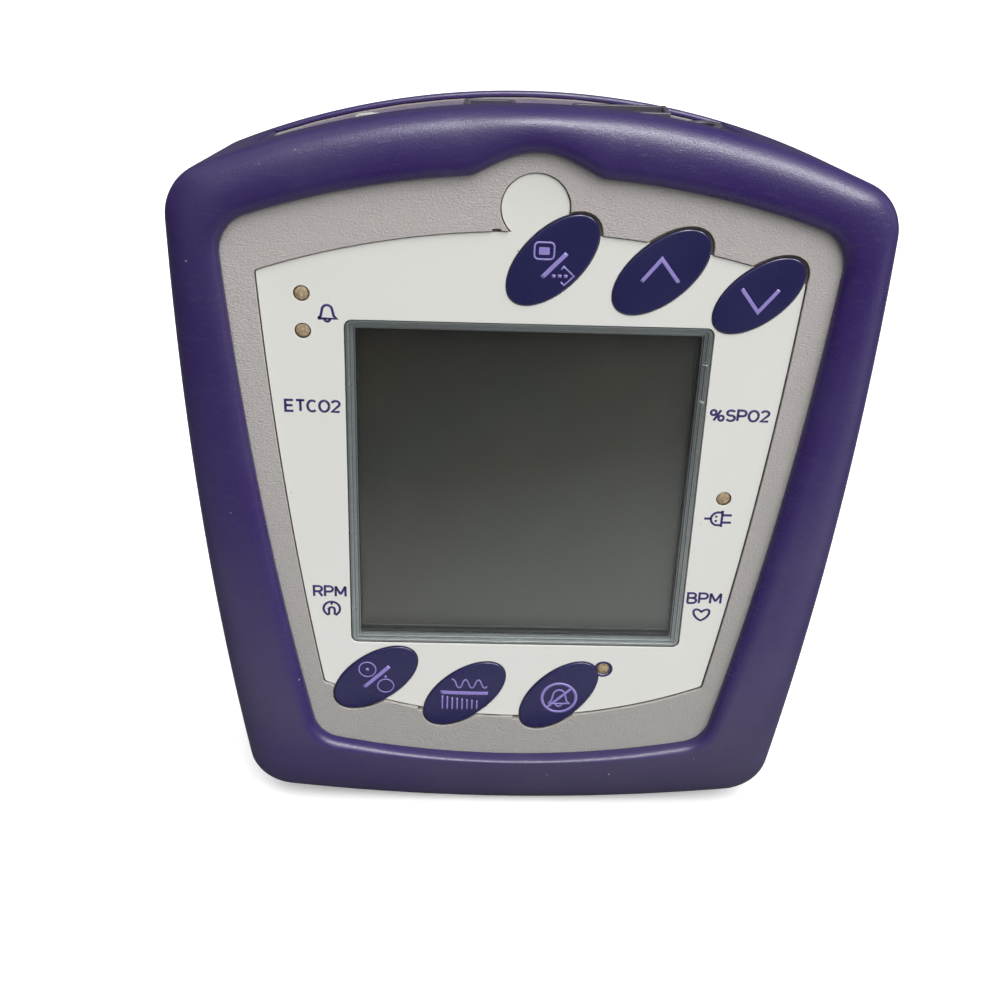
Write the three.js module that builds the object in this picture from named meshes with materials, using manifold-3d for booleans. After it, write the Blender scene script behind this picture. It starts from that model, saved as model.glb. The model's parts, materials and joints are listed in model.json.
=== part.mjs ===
// Bedside breath-gas and pulse monitor: a shield-shaped case in a rubber boot, with a membrane front panel,
// six fanned keys and a liquid-crystal window. Millimetres. Pieces are drawn in the panel's own frame, whose
// origin is the window's centre on the panel's face: +x right, +y up, +z out of the face towards the user.
// The last group stands that frame upright, facing -Y, on the flat of the boot's feet.
import * as THREE from "three";
import { mergeVertices } from "three/addons/utils/BufferGeometryUtils.js";
import Module from "manifold-3d";

const wasm = await Module();
wasm.setup();

// ---- driving dimensions -------------------------------------------------------------------------------

// A shield outline: top and bottom arcs, bowed sides, and rounded corners. upper and lower are half widths.
const BOOT = {
  top: 108.7,
  topRadius: 232,
  upper: 95.9,
  bow: 4.1,
  lower: 81.9,
  bottom: -111.5,
  bottomRadius: 620,
  upperCorner: 15,
  lowerCorner: 14,
};
const BOOT_MOUTH = {
  top: 92.3,
  topRadius: 235,
  upper: 84,
  bow: 2.6,
  lower: 61,
  bottom: -92.6,
  bottomRadius: 265,
  upperCorner: 7,
  lowerCorner: 9,
};
const PANEL = {
  top: 77,
  topRadius: 226,
  upper: 73.1,
  bow: 1.8,
  lower: 58.7,
  bottom: -78.3,
  bottomRadius: 148,
  upperCorner: 0.8,
  lowerCorner: 1.2,
};

const RIM_HEIGHT = 5; // the boot's rim over the panel's face
const RIM_ROUND = 8; // rounding of the boot's front edge
const BACK_ROUND = 2; // depth of the rounding that the boot's back edge keeps
const MOUTH_FLARE = { grow: 3, above: 1.5 }; // the rim's inner wall opens out from here
const BOOT_BACK = -49; // the boot's rear face
const BOOT_DRAFT = Math.tan(THREE.MathUtils.degToRad(4.5));
const BOOT_WALL = 4.4;
const BACK_LIP = 14; // how far the boot's rear edge laps over the case
const BACK_LIP_THICK = 2.2;
const TOP_OPENING = { left: -76, right: 57, front: -9, back: -46 };
const TOP_LIP = 1; // rubber left over the case behind the top opening
const FOOT = { inner: 38, outer: 66, root: 10, bottom: -112, front: -12, back: -45 };

const FIT = 0.3; // gap between touching pieces
const PAST = 1; // how far a cutting tool runs past what it cuts
const LAP = 0.5; // how far two joined shapes run into each other
const WIDE = 300; // wider than the whole monitor, for a cut right across it
const WELD = 1e-4; // vertices nearer than this are one
const COARSE = 0.6; // share of the outline's steps that a hidden board keeps
const OUTLINE_STEPS = [8, 6, 14, 6]; // along the bottom, right, top and left edges
const DRAFT_REACH = 100; // the half size at which the draft angles are true
const CASE_DRAFT = Math.tan(THREE.MathUtils.degToRad(1.2));
const CASE_WALL = 2.6;
const CASE_BACK = BOOT_BACK + BACK_LIP_THICK + FIT;
const CASE_SPLIT = -18; // where the front bezel meets the rear case
const SEAL = { thick: 1, inset: 0.8, overhang: 0.4 };
const BEZEL_FACE = 0.8; // the bezel stands this far over the membrane
const RECESS_FLOOR = -0.9;
const BEZEL_BACK = -3;

const PANEL_THICK = 0.6;
const WINDOW = { width: 100, height: 103, corner: 2 };
const LENS_RIM = 2.2;
const LENS_FLOOR = -1.9;
const LENS_BACK = -4.8;
const LENS_FLANGE = 2;
const GASKET_THICK = 0.8;
const DISPLAY_FRAME = { margin: 3, depth: 5.8, skin: 0.6, wall: 1, lip: 6 };
const GLASS_THICK = 2.1;
const BACKLIGHT_THICK = 2.1;

const BADGE = { y: 83.4, radius: 8.84 };
const BADGE_NOTCH = 14.4; // radius of the boot's notch round the badge

// Half lengths along and across a key. Its inner tip lies reach away from the row's line, whatever its length.
const KEY = { long: 15.3, short: 8.2, reach: 15.3, proud: 1, thick: 1.2, round: 0.5 };
const KEY_TRAVEL = 0.5;
const KEY_ROW_INSET = 7.35; // from the panel's edge to the row's line
const UPPER_KEYS = [
  { name: "key_menu", x: 5.1, angle: 47.2 },
  { name: "key_up", x: 34.1, angle: 42.3 },
  { name: "key_down", x: 60.9, angle: 38.4 },
];
const LOWER_KEYS = [
  { name: "key_power", x: -43, angle: 39 },
  { name: "key_waveform", x: -15.4, angle: 41.9 },
  { name: "key_alarm_silence", x: 14.1, angle: 47.5 },
];
const PLUNGER = { radius: 3, length: 3.8, clearance: 0.3 };
const SWITCH = { radius: 4.2, height: 0.6, shoulder: 3.4, shoulderHeight: 0.33, crown: 1.5, slack: 0.1 };

const LAMP_RADIUS = 2;
const LAMP_SUNK = 0.1;
const LAMP_BESIDE = { left: 11.3, right: 8.4 }; // from the window's edge to a lamp's centre
const LAMPS = [
  { name: "lamp_alarm_high", x: -WINDOW.width / 2 - LAMP_BESIDE.left, y: 58.8 },
  { name: "lamp_alarm_low", x: -WINDOW.width / 2 - LAMP_BESIDE.left, y: 48.3 },
  { name: "lamp_mains", x: WINDOW.width / 2 + LAMP_BESIDE.right, y: 0 },
];
// The fourth lamp sits at the alarm-silence key's upper tip: past the tip, and below the key's long axis.
const TIP_LAMP = { name: "lamp_silence", past: 1.25, below: 3.15 };

const KEYPAD_BOARD_THICK = 1.6;
const KEYPAD_MARGIN = 2; // how far the keypad board runs past the membrane
const KEYPAD_POST = { radius: 2.5, x: 68, y: 36, lowX: 50, lowY: -67 };

const MAIN_BOARD = {
  top: 90,
  topRadius: 226,
  upper: 75.5,
  bow: 2,
  lower: 66,
  bottom: -80,
  bottomRadius: 400,
  upperCorner: 5,
  lowerCorner: 5,
};
const MAIN_BOARD_GAP = 2.2; // behind the display frame
const MAIN_BOARD_THICK = 1.6;
const BOARD_POST = { radius: 3.5, x: 68, y: 68, lowY: -60, besideBay: 1.5 };
const BOARD_SCREW = { radius: 1.5, head: 2.8, headHeight: 1.6, length: 8 };
const SCREW_SLOT = { reach: 0.65, half: 0.4, deep: 0.5 }; // reach and deep are shares of the head

const CASE_SCREW = { radius: 1.5, head: 3, headHeight: 2, sink: 1.2, tip: -9.5 };
const CASE_POST = { radius: 4.6, inset: 9.9, y: 72, lowY: -89 };
const HOLE_PLAY = 0.4; // radial play of a screw in its hole

const BAY = { width: 112, top: -48, bottom: -92, wall: 2 };
const DOOR = { thick: 2.4, side: 4, top: 4, bottom: 1.5, ledge: 1.5 };
const DOOR_GRIP = { ribs: 5, width: 28, slot: 1, pitch: 3, below: 5, deep: 0.7 };
// The pack leaves endGap at one end of the bay for the contact block.
const BATTERY = { depth: 21.5, endGap: 8.5, corner: 4 };
const CONTACTS = { width: 7.2, height: 20, depth: 14, pin: 1.4, reach: 0.6, spread: 6 };
const LABEL = { width: 86, height: 34, y: 14, thick: 0.4, corner: 3 };

const PORT_DEPTH = -32; // the connectors' common line behind the face
const SAMPLE_PORT = { x: -44, radius: 5, bore: 1.6, flange: 7, length: 16 };
const EXHAUST_PORT = { x: -28, radius: 2.6, bore: 1.1, flange: 4.2, length: 14 };
const SENSOR_SOCKET = { x: 24, width: 26, depth: 11, tall: 14, wall: 1.2, mouth: 8 };
const DATA_SOCKET = { x: -12, width: 14, depth: 13, tall: 15, wall: 1.2, mouth: 9 };
const POWER_SOCKET = { x: 47, radius: 5.4, bore: 3.2, pin: 1, pinShort: 1.5, tall: 14, mouth: 9 };
const SOCKET_FLANGE = { thick: 1.5, side: 2, front: 1.5 }; // bears on the top wall from inside
const SOCKET_RISE = 0.4; // how far a socket's nose stands over the case
const PORT_HOLE = 30; // the holes for the ports run this far down from the boot's top
const PORT_TAIL = { mouth: 1.5, waist: 0.6, taper: 2 }; // mouth and waist are shares of bore and nose
const WALL_LEAN = 1.05; // the top wall is this much thicker where it is measured straight down

const BENCH = { x: -42, y: 54, width: 42, height: 20, depth: 17 };
const BENCH_CELL = { radius: 4.4, proud: 3, sunk: 2 };
const PUMP = { x: 20, y: 56, width: 36, height: 22, depth: 20, bore: 7, boreDepth: 12 };
const ROTOR = { radius: 6.4, length: 9, shaft: 1.6, shaftLength: 6, play: 0.35 };
const ROTOR_POCKET = { radius: 2.1, off: 3.8 };
const SPEAKER = { x: 50, y: 6, radius: 15, depth: 6, magnet: 8, magnetDepth: 5 };
const GRILLE = { slots: 5, pitch: 4.4, width: 1.8, length: 20 };
const TUBE = { radius: 1.6, sides: 8, gap: 0.5, lead: 3 };

const DEPTH = RIM_HEIGHT - BOOT_BACK;

// ---- finishes -----------------------------------------------------------------------------------------

const finish = (color, roughness, metalness = 0) =>
  new THREE.MeshStandardMaterial({ color, roughness, metalness });
const RUBBER = finish("#44366b", 0.55);
const BEZEL_GREY = finish("#aea9a8", 0.7);
const PANEL_WHITE = finish("#dcdbd6", 0.45);
const KEY_NAVY = finish("#1f2050", 0.3);
const CLEAR = finish("#8f9592", 0.08);
const LAMP_AMBER = finish("#a98f6f", 0.3);
const FOAM = finish("#26262a", 0.95);
const STEEL = finish("#b9bcbf", 0.35, 1);
const DISPLAY = finish("#3a3b34", 0.2);
const BOARD_GREEN = finish("#2c5a3c", 0.6);
const BLACK_PLASTIC = finish("#1b1b1d", 0.5);
const BRASS = finish("#b08d4f", 0.3, 1);
const SILICONE = finish("#d9d6cc", 0.4);
const WRAP_BLUE = finish("#2f5f8f", 0.45);
const LABEL_WHITE = finish("#e6e6e2", 0.5);

// ---- solids -------------------------------------------------------------------------------------------

function solid(geometry) {
  const bare = geometry.index ? geometry.toNonIndexed() : geometry.clone();
  bare.deleteAttribute("normal");
  bare.deleteAttribute("uv");
  const merged = mergeVertices(bare, WELD);
  return new wasm.Manifold(
    new wasm.Mesh({
      numProp: 3,
      vertProperties: new Float32Array(merged.attributes.position.array),
      triVerts: new Uint32Array(merged.index.array),
    }),
  );
}

function join(...solids) {
  return solids.reduce((whole, piece) => whole.add(piece));
}

function cut(whole, ...tools) {
  return tools.reduce((left, tool) => left.subtract(tool), whole);
}

const model = new THREE.Group();

function part(name, shape, material) {
  const { vertProperties, triVerts } = shape.getMesh();
  const geometry = new THREE.BufferGeometry();
  geometry.setAttribute("position", new THREE.BufferAttribute(vertProperties, 3));
  geometry.setIndex(new THREE.BufferAttribute(triVerts, 1));
  geometry.computeVertexNormals();
  const mesh = new THREE.Mesh(geometry, material);
  mesh.name = name;
  model.add(mesh);
}

function box(x0, x1, y0, y1, z0, z1) {
  const geometry = new THREE.BoxGeometry(x1 - x0, y1 - y0, z1 - z0);
  return solid(geometry.translate((x0 + x1) / 2, (y0 + y1) / 2, (z0 + z1) / 2));
}

// A round bar along z, and one along y.
function bar(radius, x, y, z0, z1, sides = 24) {
  const geometry = new THREE.CylinderGeometry(radius, radius, z1 - z0, sides);
  return solid(geometry.rotateX(Math.PI / 2).translate(x, y, (z0 + z1) / 2));
}

function stud(radius, x, z, y0, y1, sides = 24) {
  const geometry = new THREE.CylinderGeometry(radius, radius, y1 - y0, sides);
  return solid(geometry.translate(x, (y0 + y1) / 2, z));
}

function slab(shape, z0, z1) {
  const geometry = new THREE.ExtrudeGeometry(shape, { depth: z1 - z0, bevelEnabled: false });
  return solid(geometry.translate(0, 0, z0));
}

function roundedRectangle(width, height, corner, x = 0, y = 0) {
  const left = x - width / 2;
  const low = y - height / 2;
  const shape = new THREE.Shape();
  shape.moveTo(left + corner, low);
  shape.absarc(left + width - corner, low + corner, corner, -Math.PI / 2, 0, false);
  shape.absarc(left + width - corner, low + height - corner, corner, 0, Math.PI / 2, false);
  shape.absarc(left + corner, low + height - corner, corner, Math.PI / 2, Math.PI, false);
  shape.absarc(left + corner, low + corner, corner, Math.PI, Math.PI * 1.5, false);
  return new THREE.Shape(shape.extractPoints(2).shape);
}

function disc(radius, x, y, sides = 32) {
  const curve = new THREE.EllipseCurve(x, y, radius, radius);
  return new THREE.Shape(curve.getPoints(sides).slice(0, -1));
}

function ellipse(key, grow = 0, sides = 32) {
  const turn = THREE.MathUtils.degToRad(key.angle);
  const curve = new THREE.EllipseCurve(
    key.x, key.y, KEY.long + grow, KEY.short + grow, 0, Math.PI * 2, false, turn,
  );
  return new THREE.Shape(curve.getPoints(sides).slice(0, -1));
}

// ---- the shield outline -------------------------------------------------------------------------------

// An arc from one point to another with its centre on the left, so it bulges to the right.
function arc(from, to, radius) {
  const chord = to.clone().sub(from);
  const half = chord.length() / 2;
  const left = new THREE.Vector2(-chord.y, chord.x).normalize();
  const centre = from.clone().add(to).multiplyScalar(0.5);
  centre.addScaledVector(left, Math.sqrt(radius * radius - half * half));
  const start = Math.atan2(from.y - centre.y, from.x - centre.x);
  const sweep = 2 * Math.asin(half / radius);
  return {
    length: radius * sweep,
    point: (t) => {
      const angle = start + sweep * t;
      return new THREE.Vector2(
        centre.x + radius * Math.cos(angle),
        centre.y + radius * Math.sin(angle),
      );
    },
    heading: (t) => start + sweep * t + Math.PI / 2,
  };
}

// The outline's points, anticlockwise, with the whole shield grown or shrunk by an even margin.
function shieldPoints(shield, grow = 0, fine = 1) {
  const top = shield.top + grow;
  const topRadius = shield.topRadius + grow;
  const upper = shield.upper + grow;
  const lower = shield.lower + grow;
  const bottom = shield.bottom - grow;
  const bottomRadius = shield.bottomRadius + grow;
  const upperY = top - topRadius + Math.sqrt(topRadius ** 2 - upper ** 2);
  const lowerY = bottom + bottomRadius - Math.sqrt(bottomRadius ** 2 - lower ** 2);
  const chord = Math.hypot(upper - lower, upperY - lowerY);
  const sideRadius = chord ** 2 / (8 * shield.bow) + shield.bow / 2;
  const corners = [
    new THREE.Vector2(-lower, lowerY),
    new THREE.Vector2(lower, lowerY),
    new THREE.Vector2(upper, upperY),
    new THREE.Vector2(-upper, upperY),
  ];
  const radii = [bottomRadius, sideRadius, topRadius, sideRadius];
  const counts = OUTLINE_STEPS.map((n) => Math.ceil(n * fine));
  const rounds = [shield.lowerCorner, shield.lowerCorner, shield.upperCorner, shield.upperCorner];
  const edges = corners.map((corner, i) => arc(corner, corners[(i + 1) % 4], radii[i]));

  // Corner i lies between edge i - 1 and edge i.
  const turns = edges.map((edge, i) => {
    const before = edges[(i + 3) % 4];
    const turn = edge.heading(0) - before.heading(1);
    const bend = Math.atan2(Math.sin(turn), Math.cos(turn));
    const round = Math.max(rounds[i] + grow, 0.5);
    return { bend, round, trim: round * Math.tan(bend / 2) };
  });

  const points = [];
  edges.forEach((edge, i) => {
    const start = turns[i].trim / edge.length;
    const end = 1 - turns[(i + 1) % 4].trim / edge.length;
    for (let k = 0; k <= counts[i]; k++)
      points.push(edge.point(start + (end - start) * (k / counts[i])));
    const next = edges[(i + 1) % 4];
    const corner = turns[(i + 1) % 4];
    const handle = (4 / 3) * Math.tan(corner.bend / 4) * corner.round;
    const from = edge.point(end);
    const to = next.point(corner.trim / next.length);
    const lead = new THREE.Vector2(handle, 0);
    const curve = new THREE.CubicBezierCurve(
      from,
      from.clone().add(lead.clone().rotateAround(new THREE.Vector2(), edge.heading(end))),
      to.clone().sub(lead.rotateAround(new THREE.Vector2(), next.heading(corner.trim / next.length))),
      to,
    );
    const bits = corner.round > 4 ? 6 : 3;
    for (let k = 1; k < bits; k++) points.push(curve.getPoint(k / bits));
  });
  return points;
}

const shieldShape = (shield, grow = 0, fine = 1) => new THREE.Shape(shieldPoints(shield, grow, fine));

// Walls lean in towards the back: the outline shrinks with depth behind the face.
function drafted(geometry, draft) {
  const position = geometry.attributes.position;
  for (let i = 0; i < position.count; i++) {
    const behind = Math.max(0, -position.getZ(i));
    const scale = 1 - (draft * behind) / DRAFT_REACH;
    position.setX(i, position.getX(i) * scale);
    position.setY(i, position.getY(i) * scale);
  }
  return geometry;
}

// A drafted block of the case's outline, grown by a margin.
function caseBlock(grow, z0, z1) {
  const geometry = new THREE.ExtrudeGeometry(shieldShape(BOOT, grow - BOOT_WALL - FIT), {
    depth: z1 - z0,
    bevelEnabled: false,
  });
  return solid(drafted(geometry.translate(0, 0, z0), CASE_DRAFT));
}

// ---- places worked out from the dimensions -------------------------------------------------------------

// Plungers and switches stay on the row's line, and a longer key grows outwards, away from the window.
// way is 1 for the upper row and -1 for the lower.
function placeKey(key, edge, radius, way) {
  const turn = THREE.MathUtils.degToRad(key.angle);
  const outwards = way * (KEY.long - KEY.reach);
  const line = edge - way * (radius - Math.sqrt(radius ** 2 - key.x ** 2)) - way * KEY_ROW_INSET;
  return {
    ...key,
    lineX: key.x,
    lineY: line,
    x: key.x + outwards * Math.cos(turn),
    y: line + outwards * Math.sin(turn),
  };
}

const keys = [
  ...UPPER_KEYS.map((key) => placeKey(key, PANEL.top, PANEL.topRadius, 1)),
  ...LOWER_KEYS.map((key) => placeKey(key, PANEL.bottom, PANEL.bottomRadius, -1)),
];
const silenceKey = keys.at(-1);
const silenceTurn = THREE.MathUtils.degToRad(silenceKey.angle);
const lampReach = KEY.long + TIP_LAMP.past;
const lamps = [
  ...LAMPS,
  {
    name: TIP_LAMP.name,
    x: silenceKey.x + lampReach * Math.cos(silenceTurn) + TIP_LAMP.below * Math.sin(silenceTurn),
    y: silenceKey.y + lampReach * Math.sin(silenceTurn) - TIP_LAMP.below * Math.cos(silenceTurn),
  },
];
const keyBack = KEY.proud - KEY.thick;
const plungerTip = keyBack - PLUNGER.length;
const switchTop = plungerTip - KEY_TRAVEL - SWITCH.slack;
const keypadFront = switchTop - SWITCH.height - FIT;
const caseTop = (x, z) => {
  const scale = 1 - (CASE_DRAFT * -z) / DRAFT_REACH;
  const radius = BOOT.topRadius - BOOT_WALL - FIT;
  const crown = BOOT.top - BOOT_WALL - FIT;
  return scale * (crown - radius + Math.sqrt(radius ** 2 - (x / scale) ** 2));
};
const fourCorners = (post) => [
  { side: "upper_left", x: -post.x, y: post.y },
  { side: "upper_right", x: post.x, y: post.y },
  { side: "lower_left", x: -post.lowX, y: post.lowY },
  { side: "lower_right", x: post.lowX, y: post.lowY },
];

// The case's half width at a height, from its outline's own points.
function caseHalfWidth(y) {
  const points = shieldPoints(BOOT, -BOOT_WALL - FIT);
  const i = points.findIndex((p, k) => p.x > 0 && p.y >= y && points[k - 1]?.y < y);
  const [below, above] = [points[i - 1], points[i]];
  return below.x + ((above.x - below.x) * (y - below.y)) / (above.y - below.y);
}

const casePosts = fourCorners({
  x: caseHalfWidth(CASE_POST.y) - CASE_POST.inset,
  y: CASE_POST.y,
  lowX: caseHalfWidth(CASE_POST.lowY) - CASE_POST.inset,
  lowY: CASE_POST.lowY,
});
const boardPosts = fourCorners({
  x: BOARD_POST.x,
  y: BOARD_POST.y,
  lowX: BAY.width / 2 + BAY.wall + BOARD_POST.radius + BOARD_POST.besideBay,
  lowY: BOARD_POST.lowY,
});
const keypadPosts = fourCorners(KEYPAD_POST);

// Layers behind the panel, front to back.
const gasketFront = LENS_BACK - FIT;
const frameFront = gasketFront - GASKET_THICK - FIT;
const frameBack = frameFront - DISPLAY_FRAME.depth;
const frameWidth = WINDOW.width + 2 * DISPLAY_FRAME.margin;
const frameHeight = WINDOW.height + 2 * DISPLAY_FRAME.margin;
const boardFront = frameBack - MAIN_BOARD_GAP;
const boardBack = boardFront - MAIN_BOARD_THICK;
const boardScrewHead = boardFront + FIT + BOARD_SCREW.headHeight;
const boardScrewTip = boardScrewHead - BOARD_SCREW.length;

// The battery bay, from its door inwards.
const doorFace = CASE_BACK + DOOR.thick;
const doorBottom = BAY.bottom - DOOR.bottom;
const packBack = doorFace + 2 * FIT;
const packFront = packBack + BATTERY.depth;
const bayFloor = packFront + FIT;

// ---- rubber boot --------------------------------------------------------------------------------------

function boot() {
  const skin = new THREE.ExtrudeGeometry(shieldShape(BOOT), {
    depth: RIM_HEIGHT - BOOT_BACK - RIM_ROUND - BACK_ROUND,
    bevelEnabled: true,
    bevelThickness: RIM_ROUND,
    bevelSize: RIM_ROUND,
    bevelOffset: -RIM_ROUND,
    bevelSegments: 5,
  });
  // The bevel rounds both ends alike; the back keeps only the part in front of its flat face.
  const body = solid(drafted(skin.translate(0, 0, BOOT_BACK + BACK_ROUND), BOOT_DRAFT));
  const behind = box(-WIDE, WIDE, -WIDE, WIDE, -WIDE, BOOT_BACK);
  const feet = [-1, 1].map((side) => {
    const [x0, x1] = side < 0 ? [-FOOT.outer, -FOOT.inner] : [FOOT.inner, FOOT.outer];
    return box(x0, x1, FOOT.bottom, BOOT.bottom + FOOT.root, FOOT.back, FOOT.front);
  });
  const mouth = slab(shieldShape(BOOT_MOUTH), RECESS_FLOOR, RIM_HEIGHT + PAST);
  const flare = new THREE.ExtrudeGeometry(shieldShape(BOOT_MOUTH), {
    depth: PAST,
    bevelEnabled: true,
    bevelThickness: RIM_HEIGHT,
    bevelSize: MOUTH_FLARE.grow,
    bevelSegments: 2,
  });
  const notch = bar(BADGE_NOTCH, 0, BADGE.y, RECESS_FLOOR, RIM_HEIGHT + PAST, 40);
  const cavity = caseBlock(FIT, CASE_BACK - FIT, BEZEL_FACE + FIT);
  const rear = slab(shieldShape(BOOT, -BACK_LIP), BOOT_BACK - PAST, CASE_BACK);
  const opening = cut(
    box(TOP_OPENING.left, TOP_OPENING.right, 0, WIDE, BOOT_BACK - PAST, TOP_OPENING.front),
    caseBlock(FIT + TOP_LIP, BOOT_BACK - 2 * PAST, TOP_OPENING.back),
  );
  return cut(
    join(cut(body, behind), ...feet),
    mouth,
    solid(flare.translate(0, 0, RIM_HEIGHT + MOUTH_FLARE.above)),
    notch,
    cavity,
    rear,
    opening,
  );
}

// ---- case ---------------------------------------------------------------------------------------------

const recess = (z0, z1) =>
  join(
    slab(shieldShape(PANEL, FIT), z0, z1),
    slab(disc(BADGE.radius + FIT, 0, BADGE.y), z0, z1),
    ...keys.map((key) => slab(ellipse(key, FIT), z0, z1)),
  );

function frontBezel() {
  const shell = cut(
    caseBlock(0, CASE_SPLIT, BEZEL_FACE),
    caseBlock(-CASE_WALL, CASE_SPLIT - PAST, BEZEL_BACK),
  );
  const boardRests = keypadPosts.map((p) =>
    bar(KEYPAD_POST.radius, p.x, p.y, keypadFront + FIT, BEZEL_BACK + LAP, 16),
  );
  const screwPosts = casePosts.map((p) =>
    bar(CASE_POST.radius, p.x, p.y, CASE_SPLIT, BEZEL_BACK + LAP, 20),
  );
  const screwHoles = casePosts.map((p) =>
    bar(CASE_SCREW.radius + HOLE_PLAY, p.x, p.y, CASE_SPLIT - PAST, CASE_SCREW.tip + FIT, 12),
  );
  const window = roundedRectangle(WINDOW.width + 2 * FIT, WINDOW.height + 2 * FIT, WINDOW.corner + FIT);
  return cut(
    join(shell, ...boardRests, ...screwPosts),
    recess(RECESS_FLOOR, BEZEL_FACE + PAST),
    slab(window, BEZEL_BACK - PAST, BEZEL_FACE + PAST),
    ...keys.map((key) =>
      bar(PLUNGER.radius + PLUNGER.clearance, key.lineX, key.lineY, BEZEL_BACK - PAST, BEZEL_FACE, 16),
    ),
    ...lamps.map((lamp) => bar(LAMP_RADIUS + FIT, lamp.x, lamp.y, BEZEL_BACK - PAST, BEZEL_FACE, 16)),
    ...screwHoles,
  );
}

// The loose strip of seal lies in the joint between the two case halves.
function caseSeal() {
  const z0 = CASE_SPLIT - SEAL.thick - FIT;
  return cut(
    caseBlock(-SEAL.inset, z0, CASE_SPLIT - FIT),
    caseBlock(-CASE_WALL + SEAL.overhang, z0 - PAST, CASE_SPLIT + PAST),
  );
}

const rearJoint = CASE_SPLIT - SEAL.thick - 2 * FIT;

function socketHole(socket) {
  const w = socket.width / 2 + FIT;
  const d = socket.depth / 2 + FIT;
  return box(socket.x - w, socket.x + w, BOOT.top - PORT_HOLE, BOOT.top, PORT_DEPTH - d, PORT_DEPTH + d);
}

function rearCase() {
  const shell = cut(
    caseBlock(0, CASE_BACK, rearJoint),
    caseBlock(-CASE_WALL, CASE_BACK + CASE_WALL, rearJoint + PAST),
  );
  const half = BAY.width / 2;
  const bayBlock = box(
    -half - BAY.wall, half + BAY.wall, BAY.bottom - BAY.wall, BAY.top + BAY.wall,
    CASE_BACK + LAP, bayFloor + BAY.wall,
  );
  const bayHollow = box(-half, half, BAY.bottom, BAY.top, CASE_BACK - PAST, bayFloor);
  const doorSeat = box(
    -half - DOOR.side, half + DOOR.side, doorBottom - FIT, BAY.top + DOOR.top,
    CASE_BACK - PAST, doorFace + FIT,
  );
  const ledge = box(
    -half - DOOR.side - DOOR.ledge, half + DOOR.side + DOOR.ledge,
    doorBottom - DOOR.ledge, BAY.top + DOOR.top + DOOR.ledge,
    CASE_BACK + LAP, doorFace + FIT + DOOR.ledge,
  );
  const boardRests = boardPosts.map((p) =>
    bar(BOARD_POST.radius, p.x, p.y, CASE_BACK + LAP, boardBack - FIT, 20),
  );
  const boardHoles = boardPosts.map((p) =>
    bar(BOARD_SCREW.radius + HOLE_PLAY, p.x, p.y, boardScrewTip - FIT, boardBack, 12),
  );
  const screwRests = casePosts.map((p) =>
    bar(CASE_POST.radius, p.x, p.y, CASE_BACK + LAP, rearJoint, 20),
  );
  const screwHoles = casePosts.flatMap((p) => [
    bar(CASE_SCREW.radius + HOLE_PLAY, p.x, p.y, CASE_BACK - PAST, rearJoint + PAST, 12),
    bar(
      CASE_SCREW.head + HOLE_PLAY, p.x, p.y, CASE_BACK - PAST,
      CASE_BACK + CASE_SCREW.sink + CASE_SCREW.headHeight + FIT, 20,
    ),
  ]);
  const grille = Array.from({ length: GRILLE.slots }, (_, i) => {
    const y = SPEAKER.y + (i - (GRILLE.slots - 1) / 2) * GRILLE.pitch;
    const x = SPEAKER.x;
    return box(
      x - GRILLE.length / 2, x + GRILLE.length / 2, y - GRILLE.width / 2, y + GRILLE.width / 2,
      CASE_BACK - PAST, CASE_BACK + CASE_WALL + PAST,
    );
  });
  const ports = [
    stud(SAMPLE_PORT.radius + FIT, SAMPLE_PORT.x, PORT_DEPTH, BOOT.top - PORT_HOLE, BOOT.top),
    stud(EXHAUST_PORT.radius + FIT, EXHAUST_PORT.x, PORT_DEPTH, BOOT.top - PORT_HOLE, BOOT.top, 16),
    stud(POWER_SOCKET.radius + FIT, POWER_SOCKET.x, PORT_DEPTH, BOOT.top - PORT_HOLE, BOOT.top),
    socketHole(SENSOR_SOCKET),
    socketHole(DATA_SOCKET),
  ];
  const inside = caseBlock(-LAP, CASE_BACK, rearJoint);
  return cut(
    join(shell, join(bayBlock, ledge, ...boardRests, ...screwRests).intersect(inside)),
    bayHollow,
    doorSeat,
    ...boardHoles,
    ...screwHoles,
    ...grille,
    ...ports,
  );
}

// A flanged screw lying along z, its head at the back or at the front.
function screw(spec, x, y, headZ, tipZ) {
  const way = Math.sign(tipZ - headZ);
  const seat = headZ + way * spec.headHeight;
  const root = seat - way * LAP;
  const shank = bar(spec.radius, x, y, Math.min(root, tipZ), Math.max(root, tipZ), 12);
  const head = bar(spec.head, x, y, Math.min(headZ, seat), Math.max(headZ, seat), 20);
  const slotEnd = headZ + way * spec.headHeight * SCREW_SLOT.deep;
  const blade = (w, h) =>
    box(
      x - w, x + w, y - h, y + h,
      Math.min(headZ - way, slotEnd), Math.max(headZ - way, slotEnd),
    );
  const reach = spec.head * SCREW_SLOT.reach;
  return cut(join(shank, head), blade(reach, SCREW_SLOT.half), blade(SCREW_SLOT.half, reach));
}

// ---- front panel --------------------------------------------------------------------------------------

function overlay() {
  const window = roundedRectangle(WINDOW.width + 2 * FIT, WINDOW.height + 2 * FIT, WINDOW.corner + FIT);
  return cut(
    join(slab(shieldShape(PANEL), -PANEL_THICK, 0), slab(disc(BADGE.radius, 0, BADGE.y), -PANEL_THICK, 0)),
    slab(window, -PANEL_THICK - PAST, PAST),
    ...keys.map((key) => slab(ellipse(key, FIT), -PANEL_THICK - PAST, PAST)),
    ...lamps.map((lamp) => bar(LAMP_RADIUS + FIT, lamp.x, lamp.y, -PANEL_THICK - PAST, PAST, 16)),
  );
}

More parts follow.
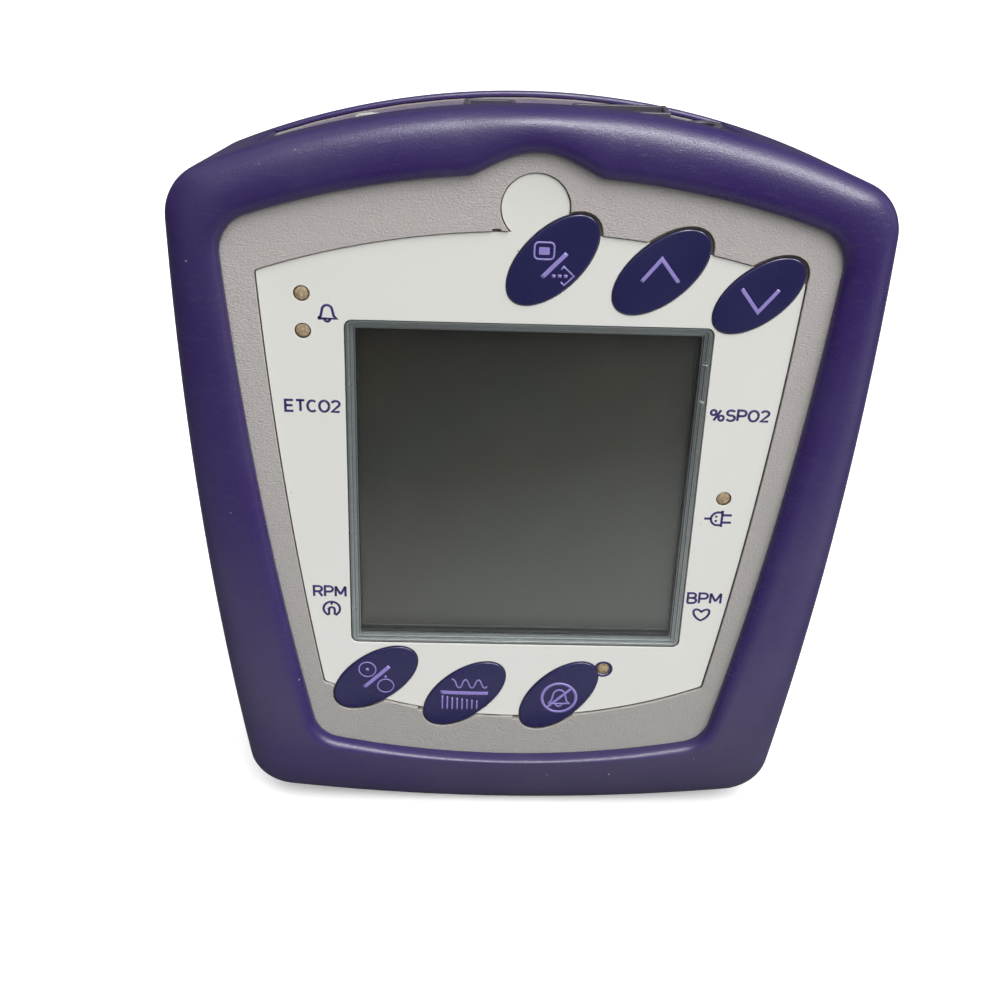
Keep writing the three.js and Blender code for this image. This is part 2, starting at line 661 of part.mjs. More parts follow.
function key(spec) {
  const cap = new THREE.ExtrudeGeometry(ellipse(spec, 0, 32), {
    depth: KEY.thick - KEY.round,
    bevelEnabled: true,
    bevelThickness: KEY.round,
    bevelSize: KEY.round,
    bevelOffset: -KEY.round,
    bevelSegments: 2,
  });
  const rounded = solid(cap.translate(0, 0, keyBack));
  const under = box(-WIDE, WIDE, -WIDE, WIDE, keyBack - KEY.thick, keyBack);
  return join(
    cut(rounded, under),
    bar(PLUNGER.radius, spec.lineX, spec.lineY, plungerTip, keyBack + LAP, 16),
  );
}

function switchDome(spec) {
  const base = keypadFront + FIT;
  const profile = [
    new THREE.Vector2(0, 0),
    new THREE.Vector2(SWITCH.radius, 0),
    new THREE.Vector2(SWITCH.shoulder, SWITCH.shoulderHeight),
    new THREE.Vector2(SWITCH.crown, SWITCH.height),
    new THREE.Vector2(0, SWITCH.height),
  ];
  const dome = new THREE.LatheGeometry(profile, 20);
  return solid(dome.rotateX(Math.PI / 2).translate(spec.lineX, spec.lineY, base));
}

function lens() {
  const plate = roundedRectangle(WINDOW.width, WINDOW.height, WINDOW.corner);
  const grow = 2 * LENS_FLANGE;
  const flange = roundedRectangle(WINDOW.width + grow, WINDOW.height + grow, WINDOW.corner);
  const shrink = 2 * LENS_RIM;
  const tray = roundedRectangle(WINDOW.width - shrink, WINDOW.height - shrink, WINDOW.corner / 2);
  return cut(
    join(slab(plate, LENS_BACK, -FIT), slab(flange, LENS_BACK, BEZEL_BACK - FIT)),
    slab(tray, LENS_FLOOR, PAST),
  );
}

function lensGasket() {
  const grow = 2 * LENS_FLANGE;
  const outer = roundedRectangle(WINDOW.width + grow, WINDOW.height + grow, 1);
  const inner = roundedRectangle(WINDOW.width - grow, WINDOW.height - grow, 1);
  const back = gasketFront - GASKET_THICK;
  return cut(slab(outer, back, gasketFront), slab(inner, back - PAST, gasketFront + PAST));
}

const glassFront = frameFront - DISPLAY_FRAME.skin - FIT;
const backlightFront = glassFront - GLASS_THICK - FIT;
const displayInner = {
  width: frameWidth - 2 * DISPLAY_FRAME.wall,
  height: frameHeight - 2 * DISPLAY_FRAME.wall,
};

function displayFrame() {
  const { skin, lip } = DISPLAY_FRAME;
  const hollow = roundedRectangle(displayInner.width, displayInner.height, 0.5);
  const sight = roundedRectangle(frameWidth - 2 * lip, frameHeight - 2 * lip, 0.5);
  return cut(
    slab(roundedRectangle(frameWidth, frameHeight, 1), frameBack, frameFront),
    slab(hollow, frameBack - PAST, frameFront - skin),
    slab(sight, frameBack - PAST, frameFront + PAST),
  );
}

function displayPlate(front, thick) {
  const plate = roundedRectangle(displayInner.width - 2 * FIT, displayInner.height - 2 * FIT, 0.5);
  return slab(plate, front - thick, front);
}

function keypadBoard() {
  const clear = roundedRectangle(frameWidth + 2 * PAST, frameHeight + 2 * PAST, 1);
  const back = keypadFront - KEYPAD_BOARD_THICK;
  return cut(
    slab(shieldShape(PANEL, KEYPAD_MARGIN, COARSE), back, keypadFront),
    slab(clear, back - PAST, keypadFront + PAST),
  );
}

// ---- inside the case ----------------------------------------------------------------------------------

function mainBoard() {
  return cut(
    slab(shieldShape(MAIN_BOARD, 0, COARSE), boardBack, boardFront),
    ...boardPosts.map((p) =>
      bar(BOARD_SCREW.radius + HOLE_PLAY, p.x, p.y, boardBack - PAST, boardFront + PAST, 12),
    ),
  );
}

// Parts mounted on the main board hang behind it, one fitting gap away.
const underBoard = boardBack - FIT;

function gasBench() {
  const { x, y, width, height, depth } = BENCH;
  const block = box(x - width / 2, x + width / 2, y, y + height, underBoard - depth, underBoard);
  const { radius, proud, sunk } = BENCH_CELL;
  const cell = bar(radius, x, y + height / 2, underBoard - depth - proud, underBoard - sunk, 20);
  return join(block, cell);
}

const pumpShaftZ = underBoard - PUMP.depth / 2;
const pumpEnd = PUMP.x + PUMP.width / 2;

function alongX(radius, y, z, x0, x1, sides = 24) {
  const geometry = new THREE.CylinderGeometry(radius, radius, x1 - x0, sides);
  return solid(geometry.rotateZ(Math.PI / 2).translate((x0 + x1) / 2, y, z));
}

function samplePump() {
  const { x, y, width, height, depth, bore, boreDepth } = PUMP;
  const shaftY = y + height / 2;
  const body = box(x - width / 2, x + width / 2, y, y + height, underBoard - depth, underBoard);
  return cut(
    body,
    alongX(bore, shaftY, pumpShaftZ, pumpEnd - boreDepth, pumpEnd + PAST),
    alongX(
      ROTOR.shaft + ROTOR.play, shaftY, pumpShaftZ,
      pumpEnd - boreDepth - ROTOR.shaftLength, pumpEnd, 16,
    ),
  );
}

function pumpRotor() {
  const shaftY = PUMP.y + PUMP.height / 2;
  const start = pumpEnd - PUMP.boreDepth + ROTOR.play;
  const weight = cut(
    alongX(ROTOR.radius, shaftY, pumpShaftZ, start, start + ROTOR.length, 28),
    alongX(
      ROTOR_POCKET.radius, shaftY + ROTOR_POCKET.off, pumpShaftZ,
      start + ROTOR.length / 2, start + ROTOR.length + PAST, 12,
    ),
  );
  const shaftStart = start - ROTOR.shaftLength + 2 * ROTOR.play;
  return join(weight, alongX(ROTOR.shaft, shaftY, pumpShaftZ, shaftStart, start + LAP, 16));
}

function speaker() {
  const front = CASE_BACK + CASE_WALL + FIT;
  const magnetEnd = front + SPEAKER.depth + SPEAKER.magnetDepth;
  return join(
    bar(SPEAKER.radius, SPEAKER.x, SPEAKER.y, front, front + SPEAKER.depth, 32),
    bar(SPEAKER.magnet, SPEAKER.x, SPEAKER.y, front + SPEAKER.depth - LAP, magnetEnd, 24),
  );
}

// ---- ports in the case's top --------------------------------------------------------------------------

// A hollow-nosed port: the flange bears on the top wall from inside, the tail takes a tube.
function gasPort(port) {
  const nose = caseTop(port.x, PORT_DEPTH) + SOCKET_RISE;
  const seat = underWall(port.x, port.flange) - FIT;
  const tail = nose - port.length;
  const profile = [
    new THREE.Vector2(port.bore, tail),
    new THREE.Vector2(port.bore * PORT_TAIL.mouth, tail),
    new THREE.Vector2(port.radius * PORT_TAIL.waist, tail + PORT_TAIL.taper),
    new THREE.Vector2(port.radius * PORT_TAIL.waist, seat - SOCKET_FLANGE.thick),
    new THREE.Vector2(port.flange, seat - SOCKET_FLANGE.thick),
    new THREE.Vector2(port.flange, seat),
    new THREE.Vector2(port.radius, seat),
    new THREE.Vector2(port.radius, nose),
    new THREE.Vector2(port.bore, nose),
    new THREE.Vector2(port.bore, tail),
  ];
  return solid(new THREE.LatheGeometry(profile, 16).translate(port.x, 0, PORT_DEPTH));
}

// The lowest part of the top wall's inside face over a flange this wide.
function underWall(x, half) {
  const inside = (at) => caseTop(at, PORT_DEPTH) - CASE_WALL * WALL_LEAN;
  return Math.min(inside(x - half), inside(x + half));
}

function boxSocket(socket) {
  const { x, width, depth, tall, wall, mouth } = socket;
  const nose = Math.max(caseTop(x - width / 2, PORT_DEPTH), caseTop(x + width / 2, PORT_DEPTH))
    + SOCKET_RISE;
  const seat = underWall(x, width / 2 + SOCKET_FLANGE.side) - FIT;
  const z = PORT_DEPTH;
  const body = box(x - width / 2, x + width / 2, nose - tall, nose, z - depth / 2, z + depth / 2);
  const flange = box(
    x - width / 2 - SOCKET_FLANGE.side, x + width / 2 + SOCKET_FLANGE.side,
    seat - SOCKET_FLANGE.thick, seat,
    z - depth / 2 - SOCKET_FLANGE.front, z + depth / 2 + SOCKET_FLANGE.front,
  );
  const hollow = box(
    x - width / 2 + wall, x + width / 2 - wall, nose - mouth, nose + PAST,
    z - depth / 2 + wall, z + depth / 2 - wall,
  );
  return cut(join(body, flange), hollow);
}

function powerSocket() {
  const { x, radius, bore, pin, pinShort, tall, mouth } = POWER_SOCKET;
  const nose = caseTop(x - radius, PORT_DEPTH) + SOCKET_RISE;
  const seat = underWall(x, radius + SOCKET_FLANGE.side) - FIT;
  const body = join(
    stud(radius, x, PORT_DEPTH, nose - tall, nose),
    stud(radius + SOCKET_FLANGE.side, x, PORT_DEPTH, seat - SOCKET_FLANGE.thick, seat),
  );
  const hollow = stud(bore, x, PORT_DEPTH, nose - mouth, nose + PAST);
  return join(cut(body, hollow), stud(pin, x, PORT_DEPTH, nose - mouth - LAP, nose - pinShort, 12));
}

// A soft tube whose ends butt on what it joins.
function tube(points, steps) {
  const curve = new THREE.CatmullRomCurve3(points.map((p) => new THREE.Vector3(...p)));
  const circle = new THREE.EllipseCurve(0, 0, TUBE.radius, TUBE.radius);
  const section = new THREE.Shape(circle.getPoints(TUBE.sides).slice(0, -1));
  return solid(new THREE.ExtrudeGeometry(section, { steps, extrudePath: curve, bevelEnabled: false }));
}

const portTail = (port) => caseTop(port.x, PORT_DEPTH) + SOCKET_RISE - port.length;

function sampleTube() {
  const { x } = SAMPLE_PORT;
  const start = portTail(SAMPLE_PORT) - TUBE.gap;
  const end = BENCH.y + BENCH.height + TUBE.gap;
  const z = underBoard - BENCH.depth / 2;
  return tube([
    [x, start, PORT_DEPTH],
    [x, start - TUBE.lead, PORT_DEPTH],
    [x, end + TUBE.lead, z],
    [x, end, z],
  ], 8);
}

function pumpTube() {
  const z = underBoard - BENCH.depth / 2;
  const y = BENCH.y + BENCH.height / 2;
  const from = BENCH.x + BENCH.width / 2 + TUBE.gap;
  const to = PUMP.x - PUMP.width / 2 - TUBE.gap;
  return tube([
    [from, y, z],
    [from + TUBE.lead, y, z],
    [(from + to) / 2, y - TUBE.radius, z - TUBE.radius],
    [to - TUBE.lead, y, z],
    [to, y, z],
  ], 10);
}

function exhaustTube() {
  const { x } = EXHAUST_PORT;
  const start = portTail(EXHAUST_PORT) - TUBE.gap;
  const end = PUMP.y + PUMP.height + TUBE.gap;
  const z = underBoard - PUMP.depth / 2;
  const toPump = PUMP.x - PUMP.width / 4;
  return tube([
    [x, start, PORT_DEPTH],
    [x, start - 1.5, PORT_DEPTH],
    [x + 8, end - 1.5, PORT_DEPTH],
    [toPump - 10, end + 4, z],
    [toPump - 1.5, end + 5, z],
    [toPump, end + 2.5, z],
    [toPump, end, z],
  ], 16);
}

// ---- battery ------------------------------------------------------------------------------------------

function batteryPack() {
  const width = BAY.width - BATTERY.endGap - 2 * FIT;
  const shape = roundedRectangle(
    width, BAY.top - BAY.bottom - 2 * FIT, BATTERY.corner,
    FIT - BAY.width / 2 + width / 2, (BAY.top + BAY.bottom) / 2,
  );
  return slab(shape, packBack, packFront);
}

function batteryContacts() {
  const right = BAY.width / 2 - FIT;
  const y = (BAY.top + BAY.bottom) / 2;
  const back = bayFloor - FIT;
  const { width, height, depth, pin, reach, spread } = CONTACTS;
  const block = box(right - width, right, y - height / 2, y + height / 2, back - depth, back);
  const pins = [-1, 1].map((side) =>
    alongX(pin, y + side * spread, back - depth / 2, right - width - reach, right - width + LAP, 12),
  );
  return join(block, ...pins);
}

// The hinged door: its lower edge hooks in the case and its flexible top tongue snaps.
function batteryDoor() {
  const half = BAY.width / 2 + DOOR.side - FIT;
  const top = BAY.top + DOOR.top - FIT;
  const plate = box(-half, half, doorBottom, top, CASE_BACK, doorFace);
  const { ribs, width, slot, pitch, below, deep } = DOOR_GRIP;
  const grips = Array.from({ length: ribs }, (_, i) => {
    const y = top - below - pitch * i;
    return box(-width / 2, width / 2, y, y + slot, CASE_BACK - PAST, CASE_BACK + deep);
  });
  return cut(plate, ...grips);
}

// ---- the model ----------------------------------------------------------------------------------------

part("boot", boot(), RUBBER);
part("front_bezel", frontBezel(), BEZEL_GREY);
part("rear_case", rearCase(), BEZEL_GREY);
part("case_seal", caseSeal(), FOAM);
part("membrane_panel", overlay(), PANEL_WHITE);
part("window_lens", lens(), CLEAR);
part("lens_gasket", lensGasket(), FOAM);
part("display_frame", displayFrame(), STEEL);
part("display_glass", displayPlate(glassFront, GLASS_THICK), DISPLAY);
part("display_backlight", displayPlate(backlightFront, BACKLIGHT_THICK), PANEL_WHITE);
part("keypad_board", keypadBoard(), BOARD_GREEN);
for (const spec of keys) {
  part(spec.name, key(spec), KEY_NAVY);
  part(spec.name.replace("key", "switch"), switchDome(spec), STEEL);
}
for (const { name, x, y } of lamps)
  part(name, bar(LAMP_RADIUS, x, y, keypadFront + FIT, -LAMP_SUNK, 20), LAMP_AMBER);
part("main_board", mainBoard(), BOARD_GREEN);
part("gas_bench", gasBench(), BLACK_PLASTIC);
part("sample_pump", samplePump(), STEEL);
part("pump_rotor", pumpRotor(), BRASS);
part("speaker", speaker(), BLACK_PLASTIC);
part("sample_port", gasPort(SAMPLE_PORT), PANEL_WHITE);
part("exhaust_port", gasPort(EXHAUST_PORT), BLACK_PLASTIC);
part("sensor_socket", boxSocket(SENSOR_SOCKET), BLACK_PLASTIC);
part("data_socket", boxSocket(DATA_SOCKET), BLACK_PLASTIC);
part("power_socket", powerSocket(), BLACK_PLASTIC);
part("sample_tube", sampleTube(), SILICONE);
part("pump_tube", pumpTube(), SILICONE);
part("exhaust_tube", exhaustTube(), SILICONE);
part("battery_pack", batteryPack(), WRAP_BLUE);
part("battery_contacts", batteryContacts(), BLACK_PLASTIC);
part("battery_door", batteryDoor(), BEZEL_GREY);
part(
  "rating_label",
  slab(
    roundedRectangle(LABEL.width, LABEL.height, LABEL.corner, 0, LABEL.y),
    CASE_BACK - FIT - LABEL.thick, CASE_BACK - FIT,
  ),
  LABEL_WHITE,
);
for (const { side, x, y } of casePosts)
  part("case_screw_" + side, screw(CASE_SCREW, x, y, CASE_BACK + CASE_SCREW.sink, CASE_SCREW.tip), STEEL);
for (const { side, x, y } of boardPosts)
  part("board_screw_" + side, screw(BOARD_SCREW, x, y, boardScrewHead, boardScrewTip), STEEL);

// Stand the panel frame upright: its +z faces -Y, and the feet rest on Z = 0.
model.rotation.x = Math.PI / 2;
model.position.set(0, RIM_HEIGHT - DEPTH / 2, -FOOT.bottom);
const monitor = new THREE.Group();
monitor.add(model);

export default monitor;
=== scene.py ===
import json
import math

import bmesh
import bpy
from mathutils import Matrix, Vector, geometry

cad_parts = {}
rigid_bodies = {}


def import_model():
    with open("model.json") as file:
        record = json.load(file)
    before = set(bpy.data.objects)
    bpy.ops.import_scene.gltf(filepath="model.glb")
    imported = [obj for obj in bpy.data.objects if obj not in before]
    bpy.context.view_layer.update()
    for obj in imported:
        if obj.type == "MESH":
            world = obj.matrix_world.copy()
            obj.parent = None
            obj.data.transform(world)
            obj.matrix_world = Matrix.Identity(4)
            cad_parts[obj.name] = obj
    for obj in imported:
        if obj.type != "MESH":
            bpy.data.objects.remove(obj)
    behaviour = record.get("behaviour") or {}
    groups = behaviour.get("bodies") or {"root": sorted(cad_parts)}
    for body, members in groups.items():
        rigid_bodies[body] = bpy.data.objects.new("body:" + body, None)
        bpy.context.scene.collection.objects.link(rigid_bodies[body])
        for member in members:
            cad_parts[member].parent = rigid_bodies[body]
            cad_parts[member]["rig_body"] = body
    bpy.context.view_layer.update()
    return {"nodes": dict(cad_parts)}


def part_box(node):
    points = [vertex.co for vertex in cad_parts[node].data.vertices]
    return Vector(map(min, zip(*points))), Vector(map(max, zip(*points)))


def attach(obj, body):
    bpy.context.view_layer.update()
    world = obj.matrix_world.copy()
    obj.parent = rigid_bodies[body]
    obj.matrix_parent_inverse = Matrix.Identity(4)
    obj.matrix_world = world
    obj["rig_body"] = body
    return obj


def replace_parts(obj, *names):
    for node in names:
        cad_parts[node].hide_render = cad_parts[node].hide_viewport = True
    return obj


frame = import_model()

# ---- studio --------------------------------------------------------------------------------------------
# A pale floor under a bright overcast sky, with a soft sun in front and a fainter one behind. Grey cards that
# the camera can't see shade the window and the rubber, and two lamps add highlights. The camera looks down
# from arm's length.

MM = 0.001
face_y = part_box("membrane_panel")[0].y
lens_low, lens_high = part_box("window_lens")
PANEL = (
    Matrix.Translation(((lens_low.x + lens_high.x) / 2, face_y, (lens_low.z + lens_high.z) / 2))
    @ Matrix.Rotation(math.pi / 2, 4, "X")
    @ Matrix.Scale(MM, 4)
)

camera = bpy.data.objects.new("camera", bpy.data.cameras.new("camera"))
bpy.context.collection.objects.link(camera)
camera.data.lens = 45.97
camera.data.sensor_width = 36
camera.data.clip_start = 0.01
EYE = Vector((-18.1, 167.7, 327.5))  # in the panel's frame
YAW, PITCH, ROLL = (math.radians(a) for a in (2.04, 27.35, 2.12))
camera.matrix_world = (
    Matrix.Translation(PANEL @ EYE)
    @ Matrix.Rotation(-YAW, 4, "Z")
    @ Matrix.Rotation(math.pi / 2 - PITCH, 4, "X")
    @ Matrix.Rotation(ROLL, 4, "Z")
)
bpy.context.scene.camera = camera
bpy.context.scene.view_settings.view_transform = "Standard"


class Signal:
    """A shader socket: arithmetic on it adds Math nodes, and node() adds any other node to its tree."""

    def __init__(self, socket):
        self.socket = socket

    def node(self, kind, settings, sockets, output=0):
        tree = self.socket.id_data
        new = tree.nodes.new("ShaderNode" + kind)
        for name, value in settings.items():
            if name == "stops":
                ramp = new.color_ramp.elements
                while len(ramp) < len(value):
                    ramp.new(0.5)
                for stop, (place, shade) in zip(ramp, value):
                    stop.position = place
                    stop.color = (*shade, 1) if isinstance(shade, tuple) else (shade, shade, shade, 1)
            else:
                setattr(new, name, value)
        for name, value in sockets.items():
            if isinstance(value, Signal):
                tree.links.new(value.socket, new.inputs[name])
            else:
                new.inputs[name].default_value = value
        return Signal(new.outputs[output])

    def math(self, operation, *values):
        return self.node("Math", {"operation": operation}, dict(enumerate(values)))

    def __add__(self, other):
        return self.math("ADD", self, other)

    def __mul__(self, other):
        return self.math("MULTIPLY", self, other)

    def __sub__(self, other):
        return self.math("SUBTRACT", self, other)

    def __rsub__(self, other):
        return self.math("SUBTRACT", other, self)

    __radd__ = __add__
    __rmul__ = __mul__

    def __abs__(self):
        return self.math("ABSOLUTE", self)

    def most(self, other):
        return self.math("MAXIMUM", self, other)

    def part(self, axis):
        return self.node("SeparateXYZ", {}, {0: self}, axis)

    def toward(self, direction):
        """How far this vector goes in a direction."""
        return self.node("VectorMath", {"operation": "DOT_PRODUCT"}, {0: self, 1: direction}, 1)

    def stretched(self, x, y, z):
        return self.node("VectorMath", {"operation": "MULTIPLY"}, {0: self, 1: (x, y, z)})

    def noise(self, scale, detail=3.0, roughness=0.55):
        """Cloudy noise with about this many patches to the millimetre."""
        sockets = {"Vector": self, "Scale": scale, "Detail": detail, "Roughness": roughness}
        return self.node("TexNoise", {}, sockets)

    def cells(self, scale):
        return self.node("TexVoronoi", {}, {"Vector": self, "Scale": scale})

    def ramp(self, *stops):
        return self.node("ValToRGB", {"stops": stops}, {0: self})

    def between(self, low, high):
        """This signal, 0 to 1, as a value from low to high."""
        return self.node("MapRange", {}, {"Value": self, "To Min": low, "To Max": high})

    def mix(self, first, second):
        """The colour first where this signal is 0, and second where it is 1."""
        return self.node("Mix", {"data_type": "RGBA"}, {0: self, 6: first, 7: second}, 2)

    def bump(self, depth):
        """A Normal socket's value for this height, where 1 stands depth millimetres above 0."""
        return self.node("Bump", {}, {"Height": self, "Distance": depth * MM, "Strength": 1.0})


def paint(r, g, b):
    """A colour given as it looks on a screen, 0 to 255, as the linear colour that a shader takes."""
    linear = [((c / 255 + 0.055) / 1.055) ** 2.4 if c > 10 else c / 255 / 12.92 for c in (r, g, b)]
    return (*linear, 1.0)


class Finish:
    """A material on one Principled shader, with the object's own coordinates in millimetres as spot."""

    def __init__(self, name, color, roughness, **fixed):
        self.material = bpy.data.materials.new(name)
        self.material.use_nodes = True
        self.shader = self.material.node_tree.nodes["Principled BSDF"]
        self.shader.inputs["Base Color"].default_value = color
        self.shader.inputs["Roughness"].default_value = roughness
        for socket, value in fixed.items():
            self.shader.inputs[socket.replace("_", " ")].default_value = value
        coordinates = self.material.node_tree.nodes.new("ShaderNodeTexCoord")
        metres = Signal(coordinates.outputs["Object"])
        self.spot = metres.stretched(1 / MM, 1 / MM, 1 / MM)

    def feed(self, **signals):
        for socket, signal in signals.items():
            target = self.shader.inputs[socket.replace("_", " ")]
            self.material.node_tree.links.new(signal.socket, target)

    def vary(self, signal, first, second, roughness, depth):
        """Colour, roughness and height that all go with one signal: from first and low to second and high."""
        self.feed(
            Base_Color=signal.mix(first, second),
            Roughness=signal.between(*roughness),
            Normal=signal.bump(depth),
        )


def stage_card(name, corners, finish, *seen_by):
    """A flat card beside the object, that only these kinds of ray see."""
    mesh = bpy.data.meshes.new(name)
    mesh.from_pydata(corners, [], [(0, 1, 2, 3)])
    mesh.materials.append(finish.material)
    card = bpy.data.objects.new(name, mesh)
    bpy.context.collection.objects.link(card)
    for kind in ("camera", "diffuse", "glossy", "transmission", "shadow"):
        setattr(card, "visible_" + kind, kind in seen_by)


def level(reach, front, back, z):
    """The corners of a card that lies level."""
    return [(-reach, front, z), (reach, front, z), (reach, back, z), (-reach, back, z)]


FLOOR_SIZE = 8.0
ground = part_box("boot")[0].z
floor_finish = Finish(
    "studio_floor", paint(248, 248, 247), 0.9, Emission_Color=(1, 1, 1, 1), Emission_Strength=0.22
)
floor_cloud = floor_finish.spot.noise(0.01)
floor_finish.feed(Base_Color=floor_cloud.mix(paint(247, 247, 246), paint(250, 250, 249)))
floor_corners = level(FLOOR_SIZE, -FLOOR_SIZE, FLOOR_SIZE, ground)
stage_card("studio_floor", floor_corners, floor_finish, "camera", "shadow")

# The pale floor would light the monitor from below, so its light comes from a darker card under the floor.
under_finish = Finish("studio_under", paint(112, 112, 114), 0.9)
under_corners = level(FLOOR_SIZE, -FLOOR_SIZE, FLOOR_SIZE, ground - 0.002)
stage_card("under_card", under_corners, under_finish, "diffuse", "glossy")

# A shaded card on the floor in front, which only the window's reflection sees.
flag_finish = Finish("studio_flag", paint(20, 20, 20), 0.9)
toward_corner = flag_finish.spot.toward((0.0009, 0.0022, 0))
flag_finish.feed(Base_Color=(toward_corner + 0.98).ramp((0.0, 0.01), (0.42, 0.14), (0.85, 0.78)))
stage_card("window_card", level(1.2, -1.6, -0.06, ground + 0.004), flag_finish, "glossy", "transmission")

# Two grey cards, behind and on the left, which keep the rubber's upper and left sides from a milky sheen.
back_finish = Finish("studio_back", paint(70, 70, 74), 0.9)
back_corners = [(-1.6, 0.7, 0), (1.6, 0.7, 0), (1.6, 0.5, 1.8), (-1.6, 0.5, 1.8)]
stage_card("back_card", back_corners, back_finish, "glossy")
left_finish = Finish("studio_left", paint(60, 60, 62), 0.9)
left_corners = [(-0.7, -0.9, 0), (-0.7, 0.5, 0), (-0.7, 0.5, 0.9), (-0.7, -0.9, 0.9)]
stage_card("left_card", left_corners, left_finish, "diffuse", "glossy")

sky = bpy.data.worlds.new("studio")
sky.use_nodes = True
sky.node_tree.nodes["Background"].inputs["Color"].default_value = (0.97, 0.985, 1.0, 1)
sky.node_tree.nodes["Background"].inputs["Strength"].default_value = 0.85
bpy.context.scene.world = sky


def lamp(name, kind, place, target, diffuse=True, **settings):
    data = bpy.data.lights.new(name, kind)
    for setting, value in settings.items():
        setattr(data, setting, value)
    holder = bpy.data.objects.new(name, data)
    holder.visible_diffuse = diffuse
    holder.location = place
    holder.rotation_euler = (Vector(target) - Vector(place)).to_track_quat("-Z", "Y").to_euler()
    bpy.context.collection.objects.link(holder)


FOOT_OF_IT, UPPER_PART = (0, 0, 0), (0, 0, 0.15)  # what the lamps point at
sun = dict(kind="SUN", target=FOOT_OF_IT, angle=math.radians(60))
lamp("daylight", place=(0.5, -1.0, 1.35), energy=2.3, color=(1, 0.995, 0.98), **sun)
lamp("backlight", place=(-0.4, 1.0, 0.9), energy=1.1, color=(0.98, 0.99, 1), **sun)
# Two lamps add highlights to the rubber and no other light: one above in front, one to the upper right.
soft = dict(kind="AREA", target=UPPER_PART, diffuse=False, shape="RECTANGLE")
lamp("lamp_above", place=(0.1, -0.72, 1.15), energy=15, size=0.3, size_y=0.12, **soft)
lamp("lamp_right", place=(0.8, -0.8, 1.0), energy=14, size=0.2, size_y=0.3, **soft)

# ---- rubber boot ---------------------------------------------------------------------------------------
# One moulding of soft purple rubber that wraps the case: a broad domed rim in front, drafted side walls, a
# lip round the back and two feet. It stretches on over the case, and a long slot leaves the connectors free.

BOOT = dict(top=108.7, top_radius=232, upper=95.9, bow=4.1, lower=81.9, bottom=-111.5, bottom_radius=620,
            upper_corner=15, lower_corner=14)
MOUTH = dict(top=92.3, top_radius=235, upper=82.5, bow=2.9, lower=61, bottom=-92.6, bottom_radius=265,
             upper_corner=11.5, lower_corner=10)
EDGE_STEPS = (56, 56, 110, 56)  # bottom, right, top and left
CORNER_STEPS = 14


def shield(size, grow=0.0, steps=EDGE_STEPS, corner_steps=CORNER_STEPS):
    """A shield's outline, anticlockwise from the bottom left: bowed edges, joined by rounded corners."""
    top, top_radius = size["top"] + grow, size["top_radius"] + grow
    bottom, bottom_radius = size["bottom"] - grow, size["bottom_radius"] + grow
    upper, lower = size["upper"] + grow, size["lower"] + grow
    upper_y = top - top_radius + math.sqrt(top_radius**2 - upper**2)
    lower_y = bottom + bottom_radius - math.sqrt(bottom_radius**2 - lower**2)
    ends = [Vector(p) for p in ((-lower, lower_y), (lower, lower_y), (upper, upper_y), (-upper, upper_y))]
    side_radius = (ends[2] - ends[1]).length ** 2 / (8 * size["bow"]) + size["bow"] / 2
    radii = (bottom_radius, side_radius, top_radius, side_radius)
    edges = []
    for i, radius in enumerate(radii):
        start, end = ends[i], ends[(i + 1) % 4]
        chord = end - start
        inward = Vector((-chord.y, chord.x)).normalized()
        centre = (start + end) / 2 + inward * math.sqrt(radius**2 - chord.length_squared / 4)
        sweep = 2 * math.asin(chord.length / 2 / radius)
        edges.append((centre, radius, math.atan2(*(start - centre).yx), sweep))

    def place(edge, share):
        centre, radius, first, sweep = edge
        angle = first + sweep * share
        return centre + radius * Vector((math.cos(angle), math.sin(angle))), angle + math.pi / 2

    rounds = (size["lower_corner"], size["lower_corner"], size["upper_corner"], size["upper_corner"])
    bends = []
    for i, edge in enumerate(edges):
        turn = place(edge, 0)[1] - place(edges[i - 1], 1)[1]
        bend = math.atan2(math.sin(turn), math.cos(turn))
        bends.append((bend, max(rounds[i] + grow, 0.5)))

    outline = []
    for i, edge in enumerate(edges):
        bend, corner = bends[(i + 1) % 4]
        length, next_edge = edge[1] * edge[3], edges[(i + 1) % 4]
        first = bends[i][1] * math.tan(bends[i][0] / 2) / length
        trim = corner * math.tan(bend / 2)
        last = 1 - trim / length
        outline += [place(edge, first + (last - first) * k / steps[i])[0] for k in range(steps[i] + 1)]
        start, heading = place(edge, last)
        end, new_heading = place(next_edge, trim / (next_edge[1] * next_edge[3]))
        handle = 4 / 3 * math.tan(bend / 4) * corner
        knots = (
            start,
            start + handle * Vector((math.cos(heading), math.sin(heading))),
            end - handle * Vector((math.cos(new_heading), math.sin(new_heading))),
            end,
        )
        curve = geometry.interpolate_bezier(*[k.to_3d() for k in knots], corner_steps + 1)
        outline += [p.xy for p in curve[1:-1]]
    return outline


CREASE = math.radians(35)  # edges that bend more than this stay sharp


def shade(shape, smooth=True):
    for edge in shape.edges:
        edge.smooth = smooth and len(edge.link_faces) == 2 and edge.calc_face_angle(0) < CREASE
    for side in shape.faces:
        side.smooth = smooth


def piece(name, shape, finish, body="housing", smooth=True):
    """A new object from a bmesh drawn in the panel's frame."""
    shade(shape, smooth)
    mesh = bpy.data.meshes.new(name)
    shape.to_mesh(mesh)
    shape.free()
    mesh.transform(PANEL)
    mesh.materials.append(finish.material)
    made = bpy.data.objects.new(name, mesh)
    bpy.context.collection.objects.link(made)
    weighted = made.modifiers.new("normals", "WEIGHTED_NORMAL")
    weighted.keep_sharp = True
    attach(made, body)
    return made


def drafted(point, slope, z):
    """Side walls lean in towards the back."""
    scale = 1 - math.tan(math.radians(slope)) * max(0.0, -z) / 100
    return Vector((point.x * scale, point.y * scale, z))


